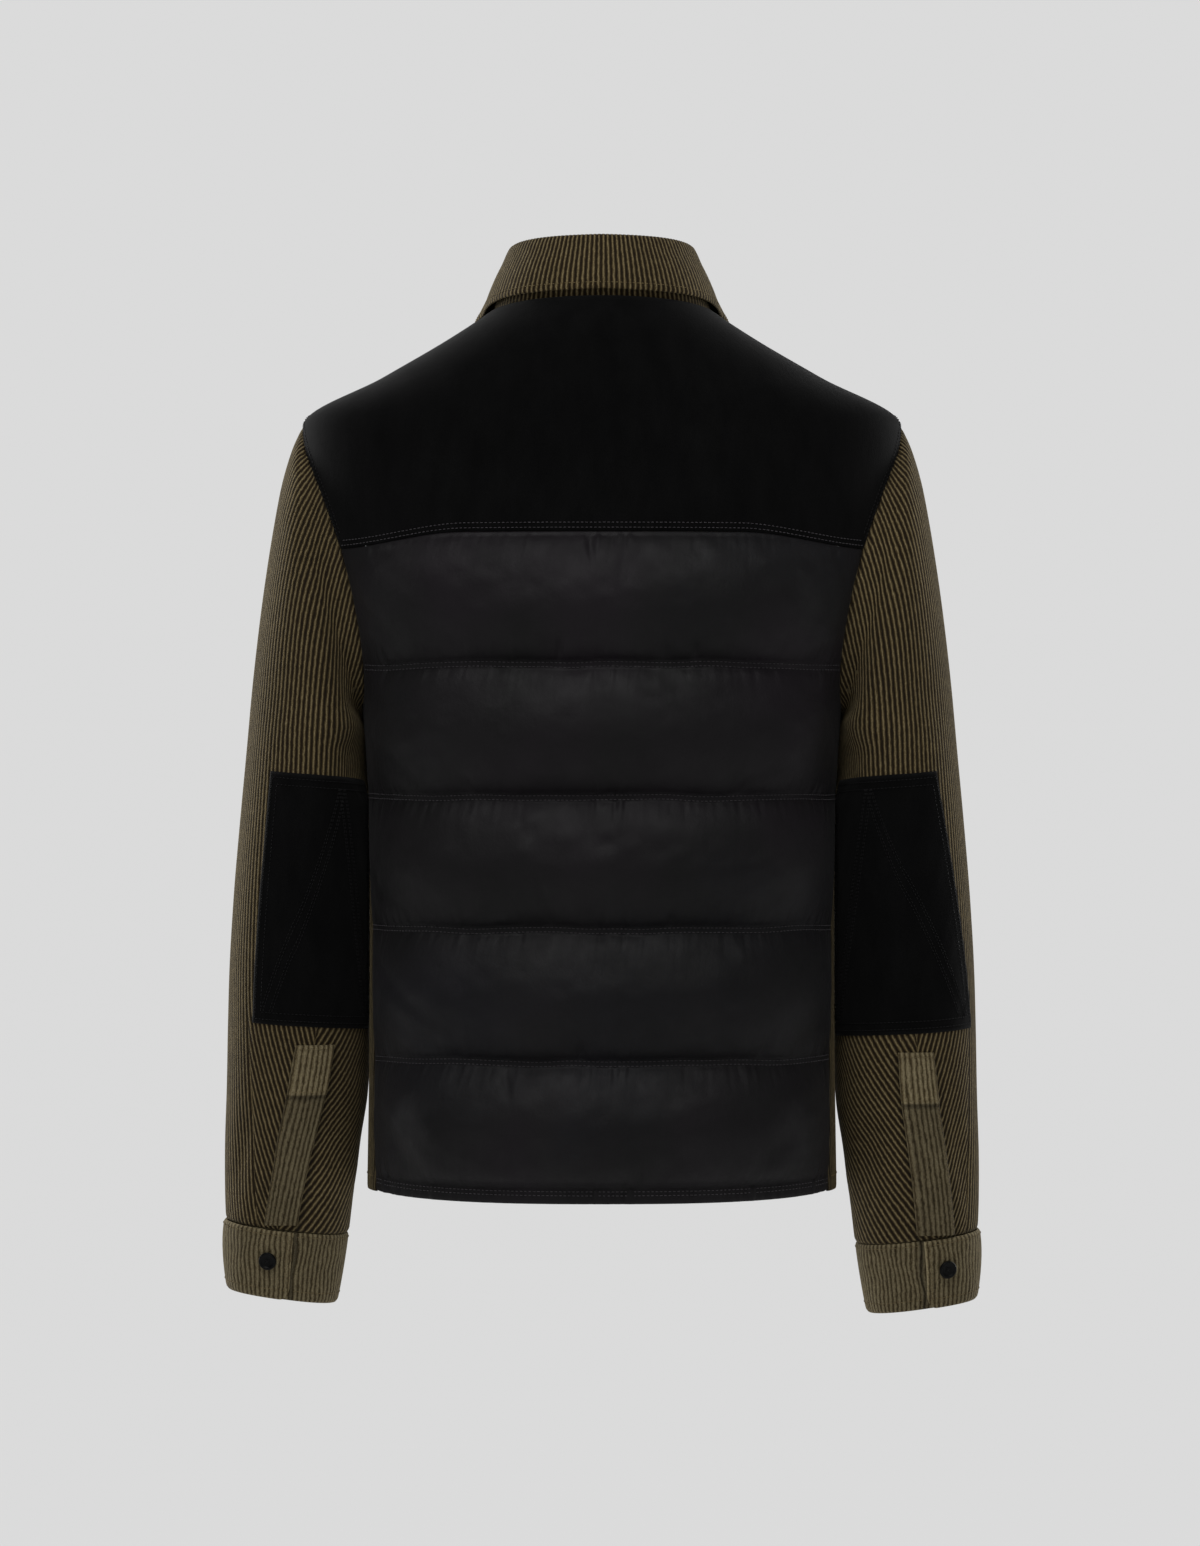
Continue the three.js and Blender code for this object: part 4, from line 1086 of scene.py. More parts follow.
# The placket strip on the sleeve, thicker in the box at its top
def slit_piece(arm, materials):
    heights = np.concatenate([
        [SLIT_TOP, SLIT_TOP - 1, SLIT_TOP - 2.5],
        np.linspace(SLIT_TOP - 5, SLIT_BOX + 3, 10),
        [SLIT_BOX + 1, SLIT_BOX, SLIT_BOX - 1, SLIT_BOX - 2.5],
        np.linspace(SLIT_BOX - 6, SLIT_BOTTOM + 2, 30),
        [SLIT_BOTTOM],
    ])
    across = np.linspace(-1, 1, 33)
    around = slit_place(arm, across[None], heights[:, None])
    point, normal = sleeve_at(arm, around, heights[:, None])
    edges = np.minimum(((1 - np.abs(across)) * SLIT_HALF)[None], (SLIT_TOP - heights)[:, None])
    counts = across * SLIT_HALF / WALE + 0.5
    box = smooth((heights - SLIT_BOX) / 1.5 + 1)[:, None]
    step = 0.8 * box + 0.5 * band(heights - SLIT_BOX - 1, 1.6)[:, None]
    from_edge = (1 - across[None]) * SLIT_HALF
    rib = ribs(counts)[None] * 0.85 * smooth(edges / 1.6)
    top = SLIT_FACE + step + 0.7 * band(from_edge - 0.8, 1.8) + rib - turned(edges, 1.3, 1.0)
    outer = point + normal * top[..., None]
    inner = point + normal * SLIT_UNDER
    pale_and_shade = 0.75 * box + 0.75 * band(from_edge, 1.7) - 0.34
    # Painted shadow in a dark band just below the box's lower edge; the rest of this value makes the
    # box and the rolled edge paler
    pale_and_shade = pale_and_shade - 0.8 * band(heights - SLIT_BOX + 1.8, 1.3)[:, None]
    threads = thread_table(counts[None], heights[:, None] / WALE, pale_and_shade)
    return cloth(f"sleeve_placket_cloth_{arm['name']}", outer, inner, threads, materials, (3, 4))


def cuff_point(around, down):
    around, down = np.broadcast_arrays(np.asarray(around, float), np.asarray(down, float))
    top, middle, bottom = (ring_point(np.broadcast_to(r, around.shape + (6,)), around) for r in CUFF)
    down = down[..., None]
    curve = top * (1 - down) * (1 - 2 * down) + middle * 4 * down * (1 - down)
    return curve + bottom * down * (2 * down - 1)


def on_cuff(arm, around, down):
    point = cuff_point(around, down)
    normal = normal_of(cuff_point, around, down, 2, 0.05)
    return on_arm(arm, point, normal)


def cuff_lift(arm, around):
    start = arm["lap"] - CUFF_LAP
    return (CORDUROY + SEAM_GAP) * smooth((around - 300) / (start + 50))


CUFF_ROWS = [0.2, 0.32, 0.44, 0.56, 0.68, 0.8]

# Soft dents in a cuff: degrees round, millimetres below its seam, and the rest as for the sleeve
CUFF_FOLDS = [
    (40, 22, -1.1, 12, 12, 0.3),
    (118, 12, -1.5, 22, 5, 0.8),
    (135, 30, -1.8, 16, 9, -0.8),
    (152, 18, 1.2, 10, 9, -0.5),
    (250, 28, -1.0, 14, 14, 0.3),
    (310, 20, 0.8, 12, 12, 0.2),
]


def cuff_piece(arm, materials):
    start, turn = arm["lap"] - CUFF_LAP, 360 + CUFF_LAP
    rough = np.linspace(start, start + turn, 801)
    around, at = evenly(rough, cuff_point(rough, 0.5), WALE_STEP)
    shares = np.concatenate([[0, 0.02, 0.05, 0.1], CUFF_ROWS, [0.89, 0.94, 0.97, 0.99, 1]])
    left = start + turn - around
    corner = 1 - np.sqrt(np.clip(1 - (1 - left / CUFF_CORNER) ** 2, 0, 1))
    corner = np.where(left < CUFF_CORNER, corner, 0)
    lowest = 1 - corner * CUFF_CORNER_RISE / CUFF_TALL
    down = mix(3 * SEAM_GAP / CUFF_TALL, lowest[None], shares[:, None])
    edges = edge_distance(shares * CUFF_TALL, at)
    swing = 1.6 * wave(around[None] + 70 * shares[:, None], 75, 2) * smooth(edges / 12)
    point, normal = on_cuff(arm, around[None] + swing, down)
    folds = relief(around[None] % 360, shares[:, None] * CUFF_TALL, CUFF_FOLDS) * smooth(edges / 6)
    lift = cuff_lift(arm, around)[None]
    face = CORDUROY - 0.1 + ribs(at / WALE)[None] * 0.9 * smooth(edges / 2) - turned(edges, 0.9, 1.2)
    outer = point + normal * (face + folds + lift)[..., None]
    inner = point + normal * (lift + np.minimum(folds, 0))[..., None]
    beside = (around - start - CUFF_LAP) * 0.8
    # Paler along the lap's edge and the cuff's edges, with painted shade in a dark band on the under
    # layer just beside the lap's edge
    shade = 0.7 * band(left * 0.8, 1.6) - 1.0 * band(beside - 1.5, 1.6)
    shade = shade[None] + 0.4 * band(edges, 1.3) * (beside > 4)[None]
    threads = thread_table(at[None] / WALE, shares[:, None] * 14, shade)
    return cloth(f"cuff_cloth_{arm['name']}", outer, inner, threads, materials, (2, 4))


# A round button: its profile as radius and height, with a raised rim and a dished middle
BUTTON_PROFILE = [
    (0, 0), (5.6, 0), (6.4, 0.25), (6.9, 0.8), (7.0, 1.4), (6.95, 2.0), (6.7, 2.6), (6.2, 2.95),
    (5.6, 3.0), (5.1, 2.8), (4.7, 2.4), (4.2, 2.05), (3.4, 1.85), (2.4, 1.75), (1.2, 1.72), (0, 1.7),
]
BUTTON_HOLES = [(1.25, 1.25), (-1.25, 1.25), (-1.25, -1.25), (1.25, -1.25)]
HOLE_PROFILE = [(0.75, 1.7), (0.78, 1.92), (0.62, 2.0), (0.5, 1.9), (0.45, 1.74), (0, 1.735)]


# The faces between rings of points, one after another
def ring_faces(rings, sides):
    faces = []
    for i in range(rings - 1):
        ring, after = i * sides, (i + 1) * sides
        for j in range(sides):
            k = (j + 1) % sides
            faces.append([ring + j, ring + k, after + k, after + j])
    return faces


def lathe(profile, sides):
    turns = np.linspace(0, 2 * math.pi, sides, endpoint=False)
    points = [(r * math.cos(t), r * math.sin(t), h) for r, h in profile for t in turns]
    return np.array(points), ring_faces(len(profile), sides)


# A bowed tube of thread from one hole of a button to another
def thread_tube(start, end, sides=8, rings=9):
    turns = np.linspace(0, 2 * math.pi, sides, endpoint=False)
    along = np.array(end) - np.array(start)
    across = np.array([-along[1], along[0]]) / math.hypot(*along)
    points = []
    for t in np.linspace(-0.02, 1.02, rings):
        rise = 1.75 + 0.55 * math.sin(math.pi * min(max(t, 0), 1)) ** 0.6
        middle = mix(np.array(start), np.array(end), t)
        for turn in turns:
            x, y = middle + across * (0.34 * math.cos(turn))
            points.append((x, y, rise + 0.3 * math.sin(turn)))
    return np.array(points), ring_faces(rings, sides)


# The button's own mesh: disc, four sunken holes with rolled rims and crossed thread
def button_parts():
    points, faces = lathe(BUTTON_PROFILE, 48)
    for x, y in BUTTON_HOLES:
        rim, more = lathe(HOLE_PROFILE, 14)
        faces += [[v + len(points) for v in face] for face in more]
        points = np.vstack([points, rim + np.array([x, y, 0])])
    kinds = [0] * len(faces)
    for start, end in (BUTTON_HOLES[0::2], BUTTON_HOLES[1::2]):
        tube, more = thread_tube(start, end)
        faces += [[v + len(points) for v in face] for face in more]
        kinds += [1] * len(more)
        points = np.vstack([points, tube])
    return points, faces, kinds


def button_piece(name, point, normal, base, turn, materials):
    points, faces, kinds = button_parts()
    side = unit(np.cross(normal, np.array([0, 0, 1.0])))
    up = np.cross(side, normal)
    x_axis = side * math.cos(turn) + up * math.sin(turn)
    y_axis = np.cross(normal, x_axis)
    points = point + normal * base + points @ np.stack([x_axis, y_axis, normal])
    return make_object(name, points, faces, materials, None, kinds)


# One stitch: rings of a thread by place along it, thickness and rise; its pointed ends dip
STITCH_RINGS = [(-0.34, 0.8, 0.0), (-0.12, 1.0, 0.22), (0.12, 1.0, 0.22), (0.34, 0.8, 0.0)]
STITCH_SIDES = 5
STITCH_DIP = 0.25


# The faces of one stitch: a pointed end, the rings between, and the other end
def stitch_faces():
    last = STITCH_SIDES * len(STITCH_RINGS) + 1
    faces = []
    for j in range(STITCH_SIDES):
        k = (j + 1) % STITCH_SIDES
        faces.append([0, 1 + k, 1 + j, 1 + j])
        for i in range(len(STITCH_RINGS) - 1):
            a, b = 1 + i * STITCH_SIDES, 1 + (i + 1) * STITCH_SIDES
            faces.append([a + j, a + k, b + k, b + j])
        faces.append([last - STITCH_SIDES + j, last - STITCH_SIDES + k, last, last])
    return np.array(faces)


# A line's points read at given lengths along it
def along_line(lengths, at, line):
    return np.stack([np.interp(lengths, at, line[:, k]) for k in range(3)], -1)


# Rows of stitches that end up as one mesh
class Thread:
    def __init__(self):
        self.points = []
        self.faces = []
        self.count = 0

    # Sews along a line of points: "length" and "pitch" of a stitch, "size" is the thread's radius
    def sew(self, line, normals, length=2.5, pitch=3.3, size=0.33):
        gaps = np.linalg.norm(np.diff(line, axis=0), axis=1)
        at = np.concatenate([[0], np.cumsum(gaps)])
        if at[-1] < pitch:
            return
        count = int(at[-1] // pitch)
        centres = (np.arange(count) + 0.5) * at[-1] / count
        place = along_line(centres, at, line)
        normal = unit(along_line(centres, at, normals))
        along = unit(along_line(centres + 0.4, at, line) - along_line(centres - 0.4, at, line))
        side = np.cross(normal, along)
        turns = np.linspace(0, 2 * math.pi, STITCH_SIDES, endpoint=False)
        rings = [place - along * length / 2 - normal * STITCH_DIP]
        for share, thick, rise in STITCH_RINGS:
            for turn in turns:
                out = side * math.cos(turn) + normal * math.sin(turn)
                rings.append(place + along * share * length + out * size * thick + normal * rise)
        rings.append(place + along * length / 2 - normal * STITCH_DIP)
        points = np.stack(rings, 1)
        each = points.shape[1]
        offsets = self.count + np.arange(count)[:, None, None] * each
        self.faces.append((stitch_faces()[None] + offsets).reshape(-1, 4))
        self.points.append(points.reshape(-1, 3))
        self.count += count * each

    # One object of all the stitches; a corner that a face gives twice is kept once
    def make(self, name, material):
        faces = [list(dict.fromkeys(f)) for f in np.concatenate(self.faces).tolist()]
        return make_object(name, np.concatenate(self.points), faces, [material], weld=0)


# Where rows of stitches lie, in millimetres from a seam or an edge
QUILTING_ROWS = (-1.7, 1.7)
HEM_ROWS = (-1.0, -4.0)
YOKE_ROWS = (2.6, 6.4)
PATCH_ROWS = (4.2, 9.6)
DART_ROWS = (-5.0, -2.8, 2.8, 5.0)
CUFF_STITCHES = (4.5, 46.5)

# How far rows reach: on the back as shares of its half width, and at the fronts' hem as azimuths
BACK_SEWN = 0.985
HEM_SEWN = (78, 170)


# Sews over the torso, at a height over its base
def torso_line(thread, azimuth, z, height):
    point, normal = torso_face(azimuth, z)
    thread.sew(point + normal * height, normal)


# Sews beside a seam of the quilted back
def back_line(thread, n, offset):
    across = np.linspace(-BACK_SEWN, BACK_SEWN, 400)
    z = baffle_line(n, across) + offset
    torso_line(thread, across * back_edge(z), z, NYLON_SEAM + 0.1)


# Sews along the yoke's back seam, or from both its ends over the shoulders
def yoke_line(thread, inset, at_back):
    azimuth, z = yoke_border()
    low = z < SEAM_NECK_Z - 6
    behind = (np.abs(azimuth) <= YOKE_CORNER + 0.01) & (z < YOKE_SEAM + 25)
    z = z + inset
    azimuth = azimuth * (1 - 0.002 * inset)
    kept = [behind] if at_back else [low & ~behind & (azimuth < 0), low & ~behind & (azimuth > 0)]
    for part in kept:
        torso_line(thread, azimuth[part], z[part], SUEDE + 0.15)


# Points between two places on a piece
def between(start, end, count):
    return np.linspace(start, end, count).T


# Length, pitch and radius of the finer stitches
FINE_STITCH = (2.3, 3.0, 0.3)


def patch_line(thread, arm, start, end):
    around, z = patch_place(arm, *between(start, end, 90))
    point, normal = sleeve_at(arm, around, z)
    thread.sew(point + normal * 4.6, normal, *FINE_STITCH)


def patch_stitches(thread, arm):
    for inset in PATCH_ROWS:
        x, y = inset / arm["patch_wide"], inset / PATCH_TALL
        corners = [(x, y), (1 - x, y), (1 - x, 1 - y), (x, 1 - y), (x, y)]
        for start, end in zip(corners, corners[1:]):
            patch_line(thread, arm, start, end)
    apex = arm["dart"][0]
    for offset in DART_ROWS:
        for foot, side in zip(arm["dart"][1:], (-1, 1)):
            shift = offset / arm["patch_wide"] * side
            patch_line(thread, arm, (apex + shift * 0.8, 0.045), (foot + shift, 0.95))


def slit_line(thread, arm, start, end):
    across, z = between(start, end, 60)
    around = slit_place(arm, across, z)
    point, normal = sleeve_at(arm, around, z)
    height = 5.0 + 0.9 * smooth((z - SLIT_BOX) / 1.5 + 1)
    thread.sew(point + normal * height[:, None], normal, *FINE_STITCH)


# Up one side of the placket, across its top and down to the box, and across under the box
def slit_stitches(thread, arm):
    side, top, box = 0.84, SLIT_TOP - 3, SLIT_BOX + 2
    slit_line(thread, arm, (-side, SLIT_BOTTOM + 3), (-side, top))
    slit_line(thread, arm, (-side, top), (side, top))
    slit_line(thread, arm, (side, top), (side, box))
    slit_line(thread, arm, (-side, box), (side, box))


def cuff_stitches(thread, arm):
    start, turn = arm["lap"] - CUFF_LAP, 360 + CUFF_LAP
    for below in CUFF_STITCHES:
        around = np.linspace(start + CUFF_LAP + 3, start + turn - 3, 300)
        point, normal = on_cuff(arm, around, below / CUFF_TALL)
        height = cuff_lift(arm, around) + CORDUROY + 0.35
        thread.sew(point + normal * height[:, None], normal, *FINE_STITCH)
    down = np.linspace(*CUFF_STITCHES, 60) / CUFF_TALL
    point, normal = on_cuff(arm, np.full(60, start + turn - 4), down)
    thread.sew(point + normal * (CORDUROY * 2 + 0.6), normal, *FINE_STITCH)


def front_stitches(thread):
    heights = np.linspace(FRONT_HEM + 5, NECK_FRONT_Z - 5, 300)
    for x in (-PLACKET_HALF + 4, PLACKET_HALF - 4):
        torso_line(thread, front_azimuth(x, heights), heights, CORDUROY + PLACKET_THICK + 0.75)
    azimuth = np.linspace(*HEM_SEWN, 300)
    z = FRONT_HEM + HEM_RISE * sine(azimuth) ** 4 + 9
    for side in (1, -1):
        torso_line(thread, side * azimuth, z, CORDUROY + 0.5)


def collar_stitches(thread):
    azimuth = np.linspace(-LEAF_END + 3, LEAF_END - 3, 500)
    points, normals = leaf_grid(azimuth, [0.87])
    thread.sew(points[0] + normals[0] * (LEAF + 0.25), normals[0])
    for side in (-1, 1):
        shares = np.linspace(0.1, 0.87, 40)
        points, normals = leaf_grid(np.array([side * (LEAF_END - 3.5)]), shares)
        thread.sew(points[:, 0] + normals[:, 0] * (LEAF + 0.25), normals[:, 0])


# Links a node's inputs to other nodes, or sets plain values on them
def fill(tree, made, values):
    for key, value in values.items():
        if isinstance(value, bpy.types.NodeSocket):
            tree.links.new(value, made.inputs[key])
        else:
            made.inputs[key].default_value = value
    return made


def node(tree, kind, values=None, **settings):
    made = tree.nodes.new(kind)
    for key, value in settings.items():
        setattr(made, key, value)
    return fill(tree, made, values or {})


def new_material(name):
    material = bpy.data.materials.new(name)
    material.use_nodes = True
    tree = material.node_tree
    tree.nodes.clear()
    shader = tree.nodes.new("ShaderNodeBsdfPrincipled")
    node(tree, "ShaderNodeOutputMaterial", {"Surface": shader.outputs["BSDF"]})
    return material, tree, shader


def maths(tree, operation, first, second=0.0):
    return node(tree, "ShaderNodeMath", {0: first, 1: second}, operation=operation).outputs[0]


def place(tree):
    return tree.nodes.new("ShaderNodeTexCoord").outputs["Object"]


def stretched(tree, vector, scale):
    return node(tree, "ShaderNodeMapping", {"Vector": vector, "Scale": scale}).outputs["Vector"]


def noise(tree, vector, scale, detail=2.0, rough=0.5):
    values = {"Vector": vector, "Scale": scale, "Detail": detail, "Roughness": rough}
    return node(tree, "ShaderNodeTexNoise", values).outputs["Fac"]


def ramp(tree, value, stops):
    made = node(tree, "ShaderNodeValToRGB", {"Fac": value})
    bar = made.color_ramp
    while len(bar.elements) < len(stops):
        bar.elements.new(0.5)
    for element, (at, colour) in zip(bar.elements, stops):
        element.position = at
        element.color = (*colour, 1)
    return made.outputs["Color"]


# A ramp of greys from one value to another
def grey_ramp(tree, value, low_at, low, high_at, high):
    return ramp(tree, value, [(low_at, (low,) * 3), (high_at, (high,) * 3)])


def multiplied(tree, first, second):
    values = {0: 1.0, 6: first, 7: second}
    return node(tree, "ShaderNodeMix", values, data_type="RGBA", blend_type="MULTIPLY").outputs[2]


def bump(tree, height, strength, distance, normal=None):
    values = {"Height": height, "Strength": strength, "Distance": distance}
    if normal is not None:
        values["Normal"] = normal
    return node(tree, "ShaderNodeBump", values).outputs["Normal"]


# Two textures added in the given shares
def shared(tree, first, share, second, other):
    part, rest = maths(tree, "MULTIPLY", first, share), maths(tree, "MULTIPLY", second, other)
    return maths(tree, "ADD", part, rest)


def wave_texture(tree, scale, distortion):
    values = {"Vector": place(tree), "Scale": scale, "Distortion": distortion}
    return node(tree, "ShaderNodeTexWave", values).outputs["Fac"]


def srgb(red, green, blue):
    def linear(value):
        value = value / 255
        return value / 12.92 if value <= 0.04045 else ((value + 0.055) / 1.055) ** 2.4

    return tuple(linear(v) for v in (red, green, blue))


# Makes a colour paler where the cloth is worn, and darker where shade is painted beside seams, laps and
# placket edges
def with_wear_and_shade(tree, colour, strength):
    wear_and_shade = node(tree, "ShaderNodeAttribute", attribute_name="WearAndShade").outputs["Fac"]
    factor = maths(tree, "ADD", maths(tree, "MULTIPLY", wear_and_shade, strength), 1.0)
    return multiplied(tree, colour, maths(tree, "MAXIMUM", factor, 0.2))


# Wales by their colours from crest to groove: partly the pile's own colour, partly painted shade that
# darkens the grooves
SLEEVE_TONES = [
    (0.0, (120, 108, 82)),
    (0.16, (98, 86, 60)),
    (0.4, (60, 50, 30)),
    (0.7, (31, 23, 11)),
    (1.0, (19, 12, 5)),
]
PRESSED_TONES = [
    (0.0, (113, 104, 82)),
    (0.4, (96, 87, 66)),
    (0.7, (74, 65, 47)),
    (0.92, (50, 42, 27)),
    (1.0, (40, 33, 20)),
]


def corduroy_material(name, tones, uneven):
    material, tree, shader = new_material(name)
    uv = node(tree, "ShaderNodeUVMap", uv_map="Cloth").outputs["UV"]
    parts = node(tree, "ShaderNodeSeparateXYZ", {"Vector": uv})
    count = parts.outputs["X"]
    here = place(tree)
    jitter = noise(tree, stretched(tree, here, (1, 1, 0.45)), 420, 3, 0.65)
    shift = maths(tree, "MULTIPLY", maths(tree, "SUBTRACT", jitter, 0.5), uneven)
    phase = maths(tree, "FRACT", maths(tree, "ADD", count, shift))
    off = maths(tree, "ABSOLUTE", maths(tree, "SUBTRACT", phase, 0.5))
    valley = maths(tree, "MULTIPLY", off, 2.0)
    # The ramp paints shade into the grooves between the wales, on top of the cloth's own colour
    rib = ramp(tree, valley, [(at, srgb(*tone)) for at, tone in tones])
    fibres = noise(tree, stretched(tree, here, (1, 1, 0.7)), 1400, 3, 0.75)
    speckle = ramp(tree, fibres, [(0.28, (0.5, 0.49, 0.47)), (0.72, (1.42, 1.42, 1.4))])
    cloudy = noise(tree, here, 9, 3, 0.55)
    cloud = ramp(tree, cloudy, [(0.3, (0.84, 0.83, 0.81)), (0.7, (1.12, 1.12, 1.1))])
    colour = multiplied(tree, multiplied(tree, rib, speckle), cloud)
    fill(tree, shader, {
        "Base Color": with_wear_and_shade(tree, colour, 0.65),
        "Roughness": grey_ramp(tree, fibres, 0.2, 0.86, 0.8, 0.98),
        "Specular IOR Level": 0.14,
        "Sheen Weight": 0.14,
        "Sheen Roughness": 0.45,
        "Sheen Tint": (*srgb(190, 176, 140), 1),
        "Normal": bump(tree, jitter, 0.4, 0.0009, bump(tree, fibres, 0.8, 0.0005)),
    })
    return material


def reverse_material():
    material, tree, shader = new_material("corduroy_reverse")
    here = place(tree)
    fibres = noise(tree, here, 900, 2, 0.6)
    both = shared(tree, wave_texture(tree, 520, 1.5), 0.5, fibres, 0.5)
    fill(tree, shader, {
        "Base Color": ramp(tree, both, [(0.2, srgb(58, 50, 34)), (0.8, srgb(92, 82, 60))]),
        "Roughness": grey_ramp(tree, fibres, 0.2, 0.84, 0.8, 0.96),
        "Specular IOR Level": 0.15,
        "Normal": bump(tree, both, 0.6, 0.0003),
    })
    return material


def suede_material():
    material, tree, shader = new_material("suede_black")
    here = place(tree)
    nap = noise(tree, here, 700, 3, 0.7)
    brushed = noise(tree, stretched(tree, here, (1, 1, 0.4)), 60, 4, 0.6)
    tone = ramp(tree, brushed, [(0.3, srgb(4, 4, 4.2)), (0.7, srgb(8, 8, 8.2))])
    colour = multiplied(tree, tone, grey_ramp(tree, nap, 0.3, 0.7, 0.7, 1.3))
    cloud = grey_ramp(tree, noise(tree, here, 14, 3, 0.5), 0.3, 0.8, 0.7, 1.2)
    fill(tree, shader, {
        "Base Color": with_wear_and_shade(tree, multiplied(tree, colour, cloud), 1.6),
        "Roughness": grey_ramp(tree, nap, 0.2, 0.88, 0.8, 1.0),
        "Specular IOR Level": 0.06,
        "Sheen Weight": 0.02,
        "Sheen Roughness": 0.5,
        "Normal": bump(tree, brushed, 0.3, 0.0012, bump(tree, nap, 0.6, 0.0004)),
    })
    return material


def nylon_material():
    material, tree, shader = new_material("nylon_black")
    here = place(tree)
    crush = noise(tree, stretched(tree, here, (1, 1, 0.7)), 55, 5, 0.62)
    cloudy = noise(tree, here, 11, 3, 0.5)
    tone = ramp(tree, cloudy, [(0.35, srgb(6.5, 5.6, 6.5)), (0.65, srgb(15, 13, 15))])
    tinge = ramp(tree, noise(tree, here, 6, 2, 0.5), [
        (0.36, (0.92, 0.98, 1.16)), (0.5, (1, 1, 1)), (0.64, (1.16, 0.94, 1.16)),
    ])
    fine = noise(tree, here, 1100, 2, 0.6)
    texture = shared(tree, wave_texture(tree, 700, 0.6), 0.4, fine, 0.6)
    fill(tree, shader, {
        "Base Color": multiplied(tree, tone, tinge),
        "Roughness": grey_ramp(tree, crush, 0.25, 0.48, 0.75, 0.66),
        "Specular IOR Level": 0.16,
        "Sheen Weight": 0.02,
        "Normal": bump(tree, crush, 0.5, 0.0016, bump(tree, texture, 0.35, 0.0002)),
    })
    return material


def thread_material(name, dark, light):
    material, tree, shader = new_material(name)
    twist = noise(tree, place(tree), 2600, 2, 0.6)
    fill(tree, shader, {
        "Base Color": ramp(tree, twist, [(0.3, dark), (0.7, light)]),
        "Roughness": grey_ramp(tree, twist, 0.3, 0.6, 0.7, 0.8),
        "Specular IOR Level": 0.2,
        "Normal": bump(tree, twist, 0.5, 0.0002),
    })
    return material


def button_material():
    material, tree, shader = new_material("button_black")
    swirl = noise(tree, place(tree), 180, 4, 0.6)
    fill(tree, shader, {
        "Base Color": ramp(tree, swirl, [(0.3, srgb(3, 3, 3.4)), (0.7, srgb(8, 8, 8.4))]),
        "Roughness": grey_ramp(tree, swirl, 0.3, 0.36, 0.7, 0.52),
        "Specular IOR Level": 0.1,
        "Normal": bump(tree, swirl, 0.2, 0.0003),
    })
    return material


def finish_piece(piece, finish, *nodes):
    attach(piece, "root")
    if nodes:
        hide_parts(*nodes)
    return piece


# The materials
reverse = reverse_material()
corduroy = [corduroy_material("corduroy_wales", SLEEVE_TONES, 0.5), reverse]
pressed = [corduroy_material("corduroy_pressed", PRESSED_TONES, 0.9), reverse]
suede = [suede_material()] * 2
nylon = nylon_material()
black_thread = thread_material("thread_black", srgb(5, 5, 6), srgb(17, 16, 17))
grey_thread = thread_material("thread_quilting", srgb(40, 38, 40), srgb(78, 75, 78))
olive_thread = thread_material("thread_olive", srgb(70, 58, 34), srgb(120, 104, 72))
button_looks = [button_material(), black_thread]

# Yoke, back, fronts and collar
yoke = finish_piece(yoke_piece(suede), "suede", "back_yoke")
back = finish_piece(back_piece(nylon), "quilted_nylon", "back_quilted")
for side, name, area in ((1, "left", 0.155), (-1, "right", 0.166)):
    front = finish_piece(front_piece(side, name, corduroy), "corduroy", f"front_{name}")
placket = finish_piece(placket_piece(corduroy), "corduroy", "front_placket")
stand = finish_piece(stand_piece(corduroy), "corduroy", "collar_stand")
leaf = finish_piece(leaf_piece(corduroy), "corduroy", "collar_leaf")

# Sleeves, with their patches, plackets, cuffs, buttons and stitches
black_sewing, grey_sewing, olive_sewing = Thread(), Thread(), Thread()
for arm in ARMS:
    name = arm["name"]
    arm_cloth = finish_piece(sleeve_piece(arm, corduroy), "corduroy", f"sleeve_{name}")
    patch = finish_piece(patch_piece(arm, suede), "suede", f"elbow_patch_{name}")
    slit = finish_piece(slit_piece(arm, pressed), "corduroy", f"sleeve_placket_{name}")
    cuff = finish_piece(cuff_piece(arm, pressed), "corduroy", f"cuff_{name}")
    spot, facing = on_cuff(arm, arm["button"], 0.5)
    base = 2 * CORDUROY + 3 * SEAM_GAP
    made = button_piece(f"cuff_button_round_{name}", spot, facing, base, 0.2, button_looks)
    finish_piece(made, "button", f"cuff_button_{name}")
    patch_stitches(black_sewing, arm)
    slit_stitches(olive_sewing, arm)
    cuff_stitches(olive_sewing, arm)

# Buttons down the front
for i in range(FRONT_BUTTONS):
    z = mix(FRONT_BUTTON_TOP, FRONT_BUTTON_BOTTOM, i / (FRONT_BUTTONS - 1))
    spot, facing = torso_face(180, z)
    base = CORDUROY + PLACKET_THICK + 4 * SEAM_GAP
    name = f"front_button_round_{i + 1}"
    made = button_piece(name, spot, facing, base, 0.1 * i, button_looks)
    finish_piece(made, "button", f"front_button_{i + 1}")

# Stitches of the back, the yoke, the fronts and the collar
for n in range(1, BAFFLES):
    for offset in QUILTING_ROWS:
        back_line(grey_sewing, n, offset)
for offset in HEM_ROWS:
    back_line(grey_sewing, BAFFLES, offset)
for inset in YOKE_ROWS:
    yoke_line(grey_sewing, inset, True)
    yoke_line(black_sewing, inset, False)
front_stitches(olive_sewing)
collar_stitches(olive_sewing)
finish_piece(black_sewing.make("stitches_black", black_thread), "suede")
finish_piece(grey_sewing.make("stitches_quilting", grey_thread), "quilted_nylon")
finish_piece(olive_sewing.make("stitches_olive", olive_thread), "corduroy")


# The stage, in metres
FLOOR = -1.6
WALL_TOP = 9.0
WALL_RADIUS = 8.9


def stage_piece(name, points, faces, material):
    mesh = bpy.data.meshes.new(name)
    mesh.from_pydata(points, [], faces)
    mesh.materials.append(material)
    piece = placed(name, mesh)
    return piece


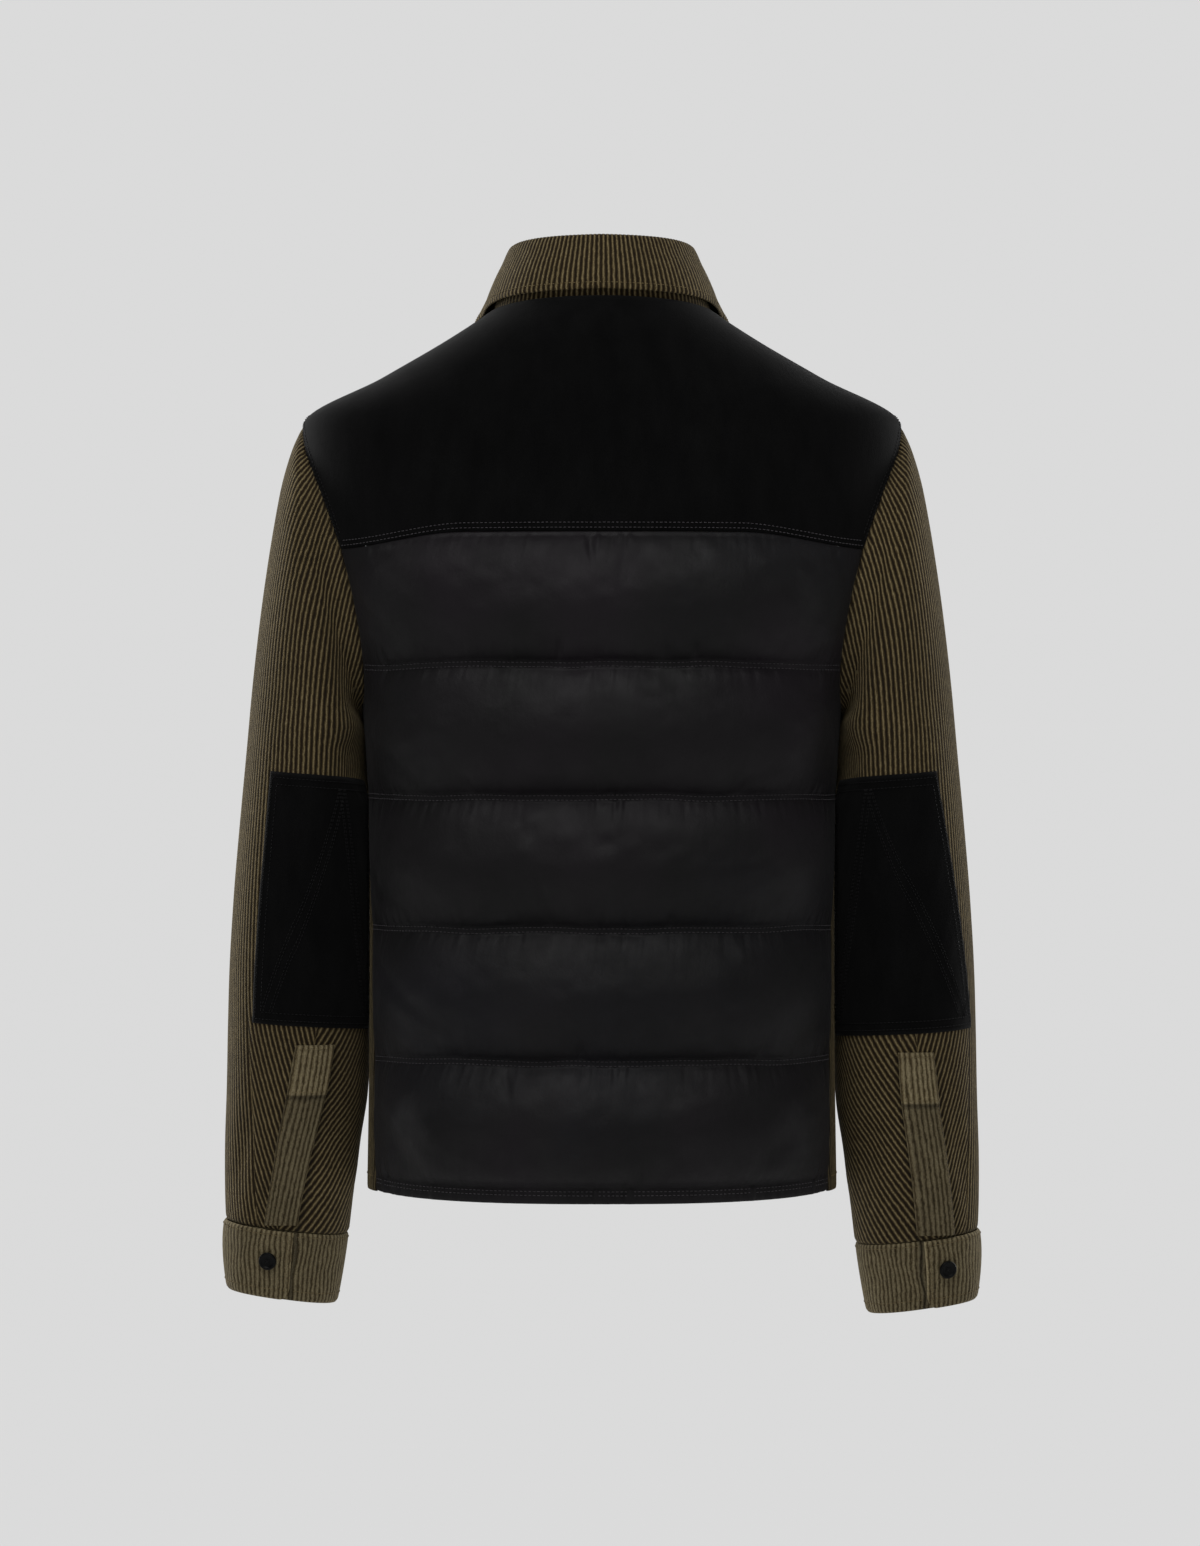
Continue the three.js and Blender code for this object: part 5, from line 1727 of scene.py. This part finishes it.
# A pale floor that curves up far behind the jacket, and a wall all round that only the camera sees
def backdrop():
    material, tree, shader = new_material("backdrop_pale")
    fill(tree, shader, {
        "Base Color": (0.02, 0.02, 0.02, 1),
        "Roughness": 1.0,
        "Specular IOR Level": 0.0,
        "Emission Color": (*srgb(219, 219, 219), 1),
        "Emission Strength": 0.985,
    })
    bend = np.linspace(0.1, math.pi / 2, 14)
    turn = [(9.0, FLOOR), (-4.0, FLOOR)]
    turn += [(-4.0 - 2 * math.sin(a), FLOOR + 2 - 2 * math.cos(a)) for a in bend]
    turn += [(-6.0, WALL_TOP)]
    points = [(x, y, z) for y, z in turn for x in (-14.0, 14.0)]
    faces = [[2 * i, 2 * i + 1, 2 * i + 3, 2 * i + 2] for i in range(len(turn) - 1)]
    stage_piece("backdrop", points, faces, material)
    ring, sides = lathe([(WALL_RADIUS, FLOOR), (WALL_RADIUS, WALL_TOP)], 96)
    wall = stage_piece("backdrop_wall", ring.tolist(), sides, material)
    wall.visible_diffuse = wall.visible_glossy = wall.visible_shadow = False


def aim(piece, place, target):
    piece.location = place
    away = unit(np.array(target) - np.array(place))
    flat = math.hypot(away[0], away[1])
    piece.rotation_euler = (math.atan2(flat, -away[2]), 0, math.atan2(-away[0], away[1]))


def soft_light(name, place, target, size, strength):
    lamp = bpy.data.lights.new(name, "AREA")
    lamp.shape = "RECTANGLE"
    lamp.size, lamp.size_y = size
    lamp.energy = strength
    aim(placed(name, lamp), place, target)


def studio():
    world = bpy.data.worlds.new("studio")
    bpy.context.scene.world = world
    world.use_nodes = True
    tree = world.node_tree
    fill(tree, tree.nodes["Background"], {"Color": (1, 1, 1, 1), "Strength": 0.22})
    soft_light("key_above", (0.3, 2.2, 2.2), (0, 0, -0.35), (2.4, 1.4), 66)
    soft_light("side_left", (2.3, -1.5, 0.2), (0, 0, -0.4), (1.0, 2.2), 76)
    soft_light("side_right", (-2.3, -1.5, 0.2), (0, 0, -0.4), (1.0, 2.2), 46)
    soft_light("front_fill", (0, -3.0, 0.8), (0, 0, -0.4), (2.4, 2.0), 25)


# The photo's camera, level with the middle of the back, with its lens and sensor in millimetres
CAMERA_PLACE = (0.0015, 3.5, -0.3557)
LENS = 104.25
SENSOR_HEIGHT = 36


def camera():
    data = bpy.data.cameras.new("photo_view")
    data.sensor_fit = "VERTICAL"
    data.sensor_height = SENSOR_HEIGHT
    data.lens = LENS
    data.clip_end = 60
    piece = placed("photo_view", data)
    piece.location = CAMERA_PLACE
    piece.rotation_euler = (math.pi / 2, 0, math.pi)
    bpy.context.scene.camera = piece


backdrop()
studio()
camera()
bpy.context.scene.view_settings.view_transform = "Standard"
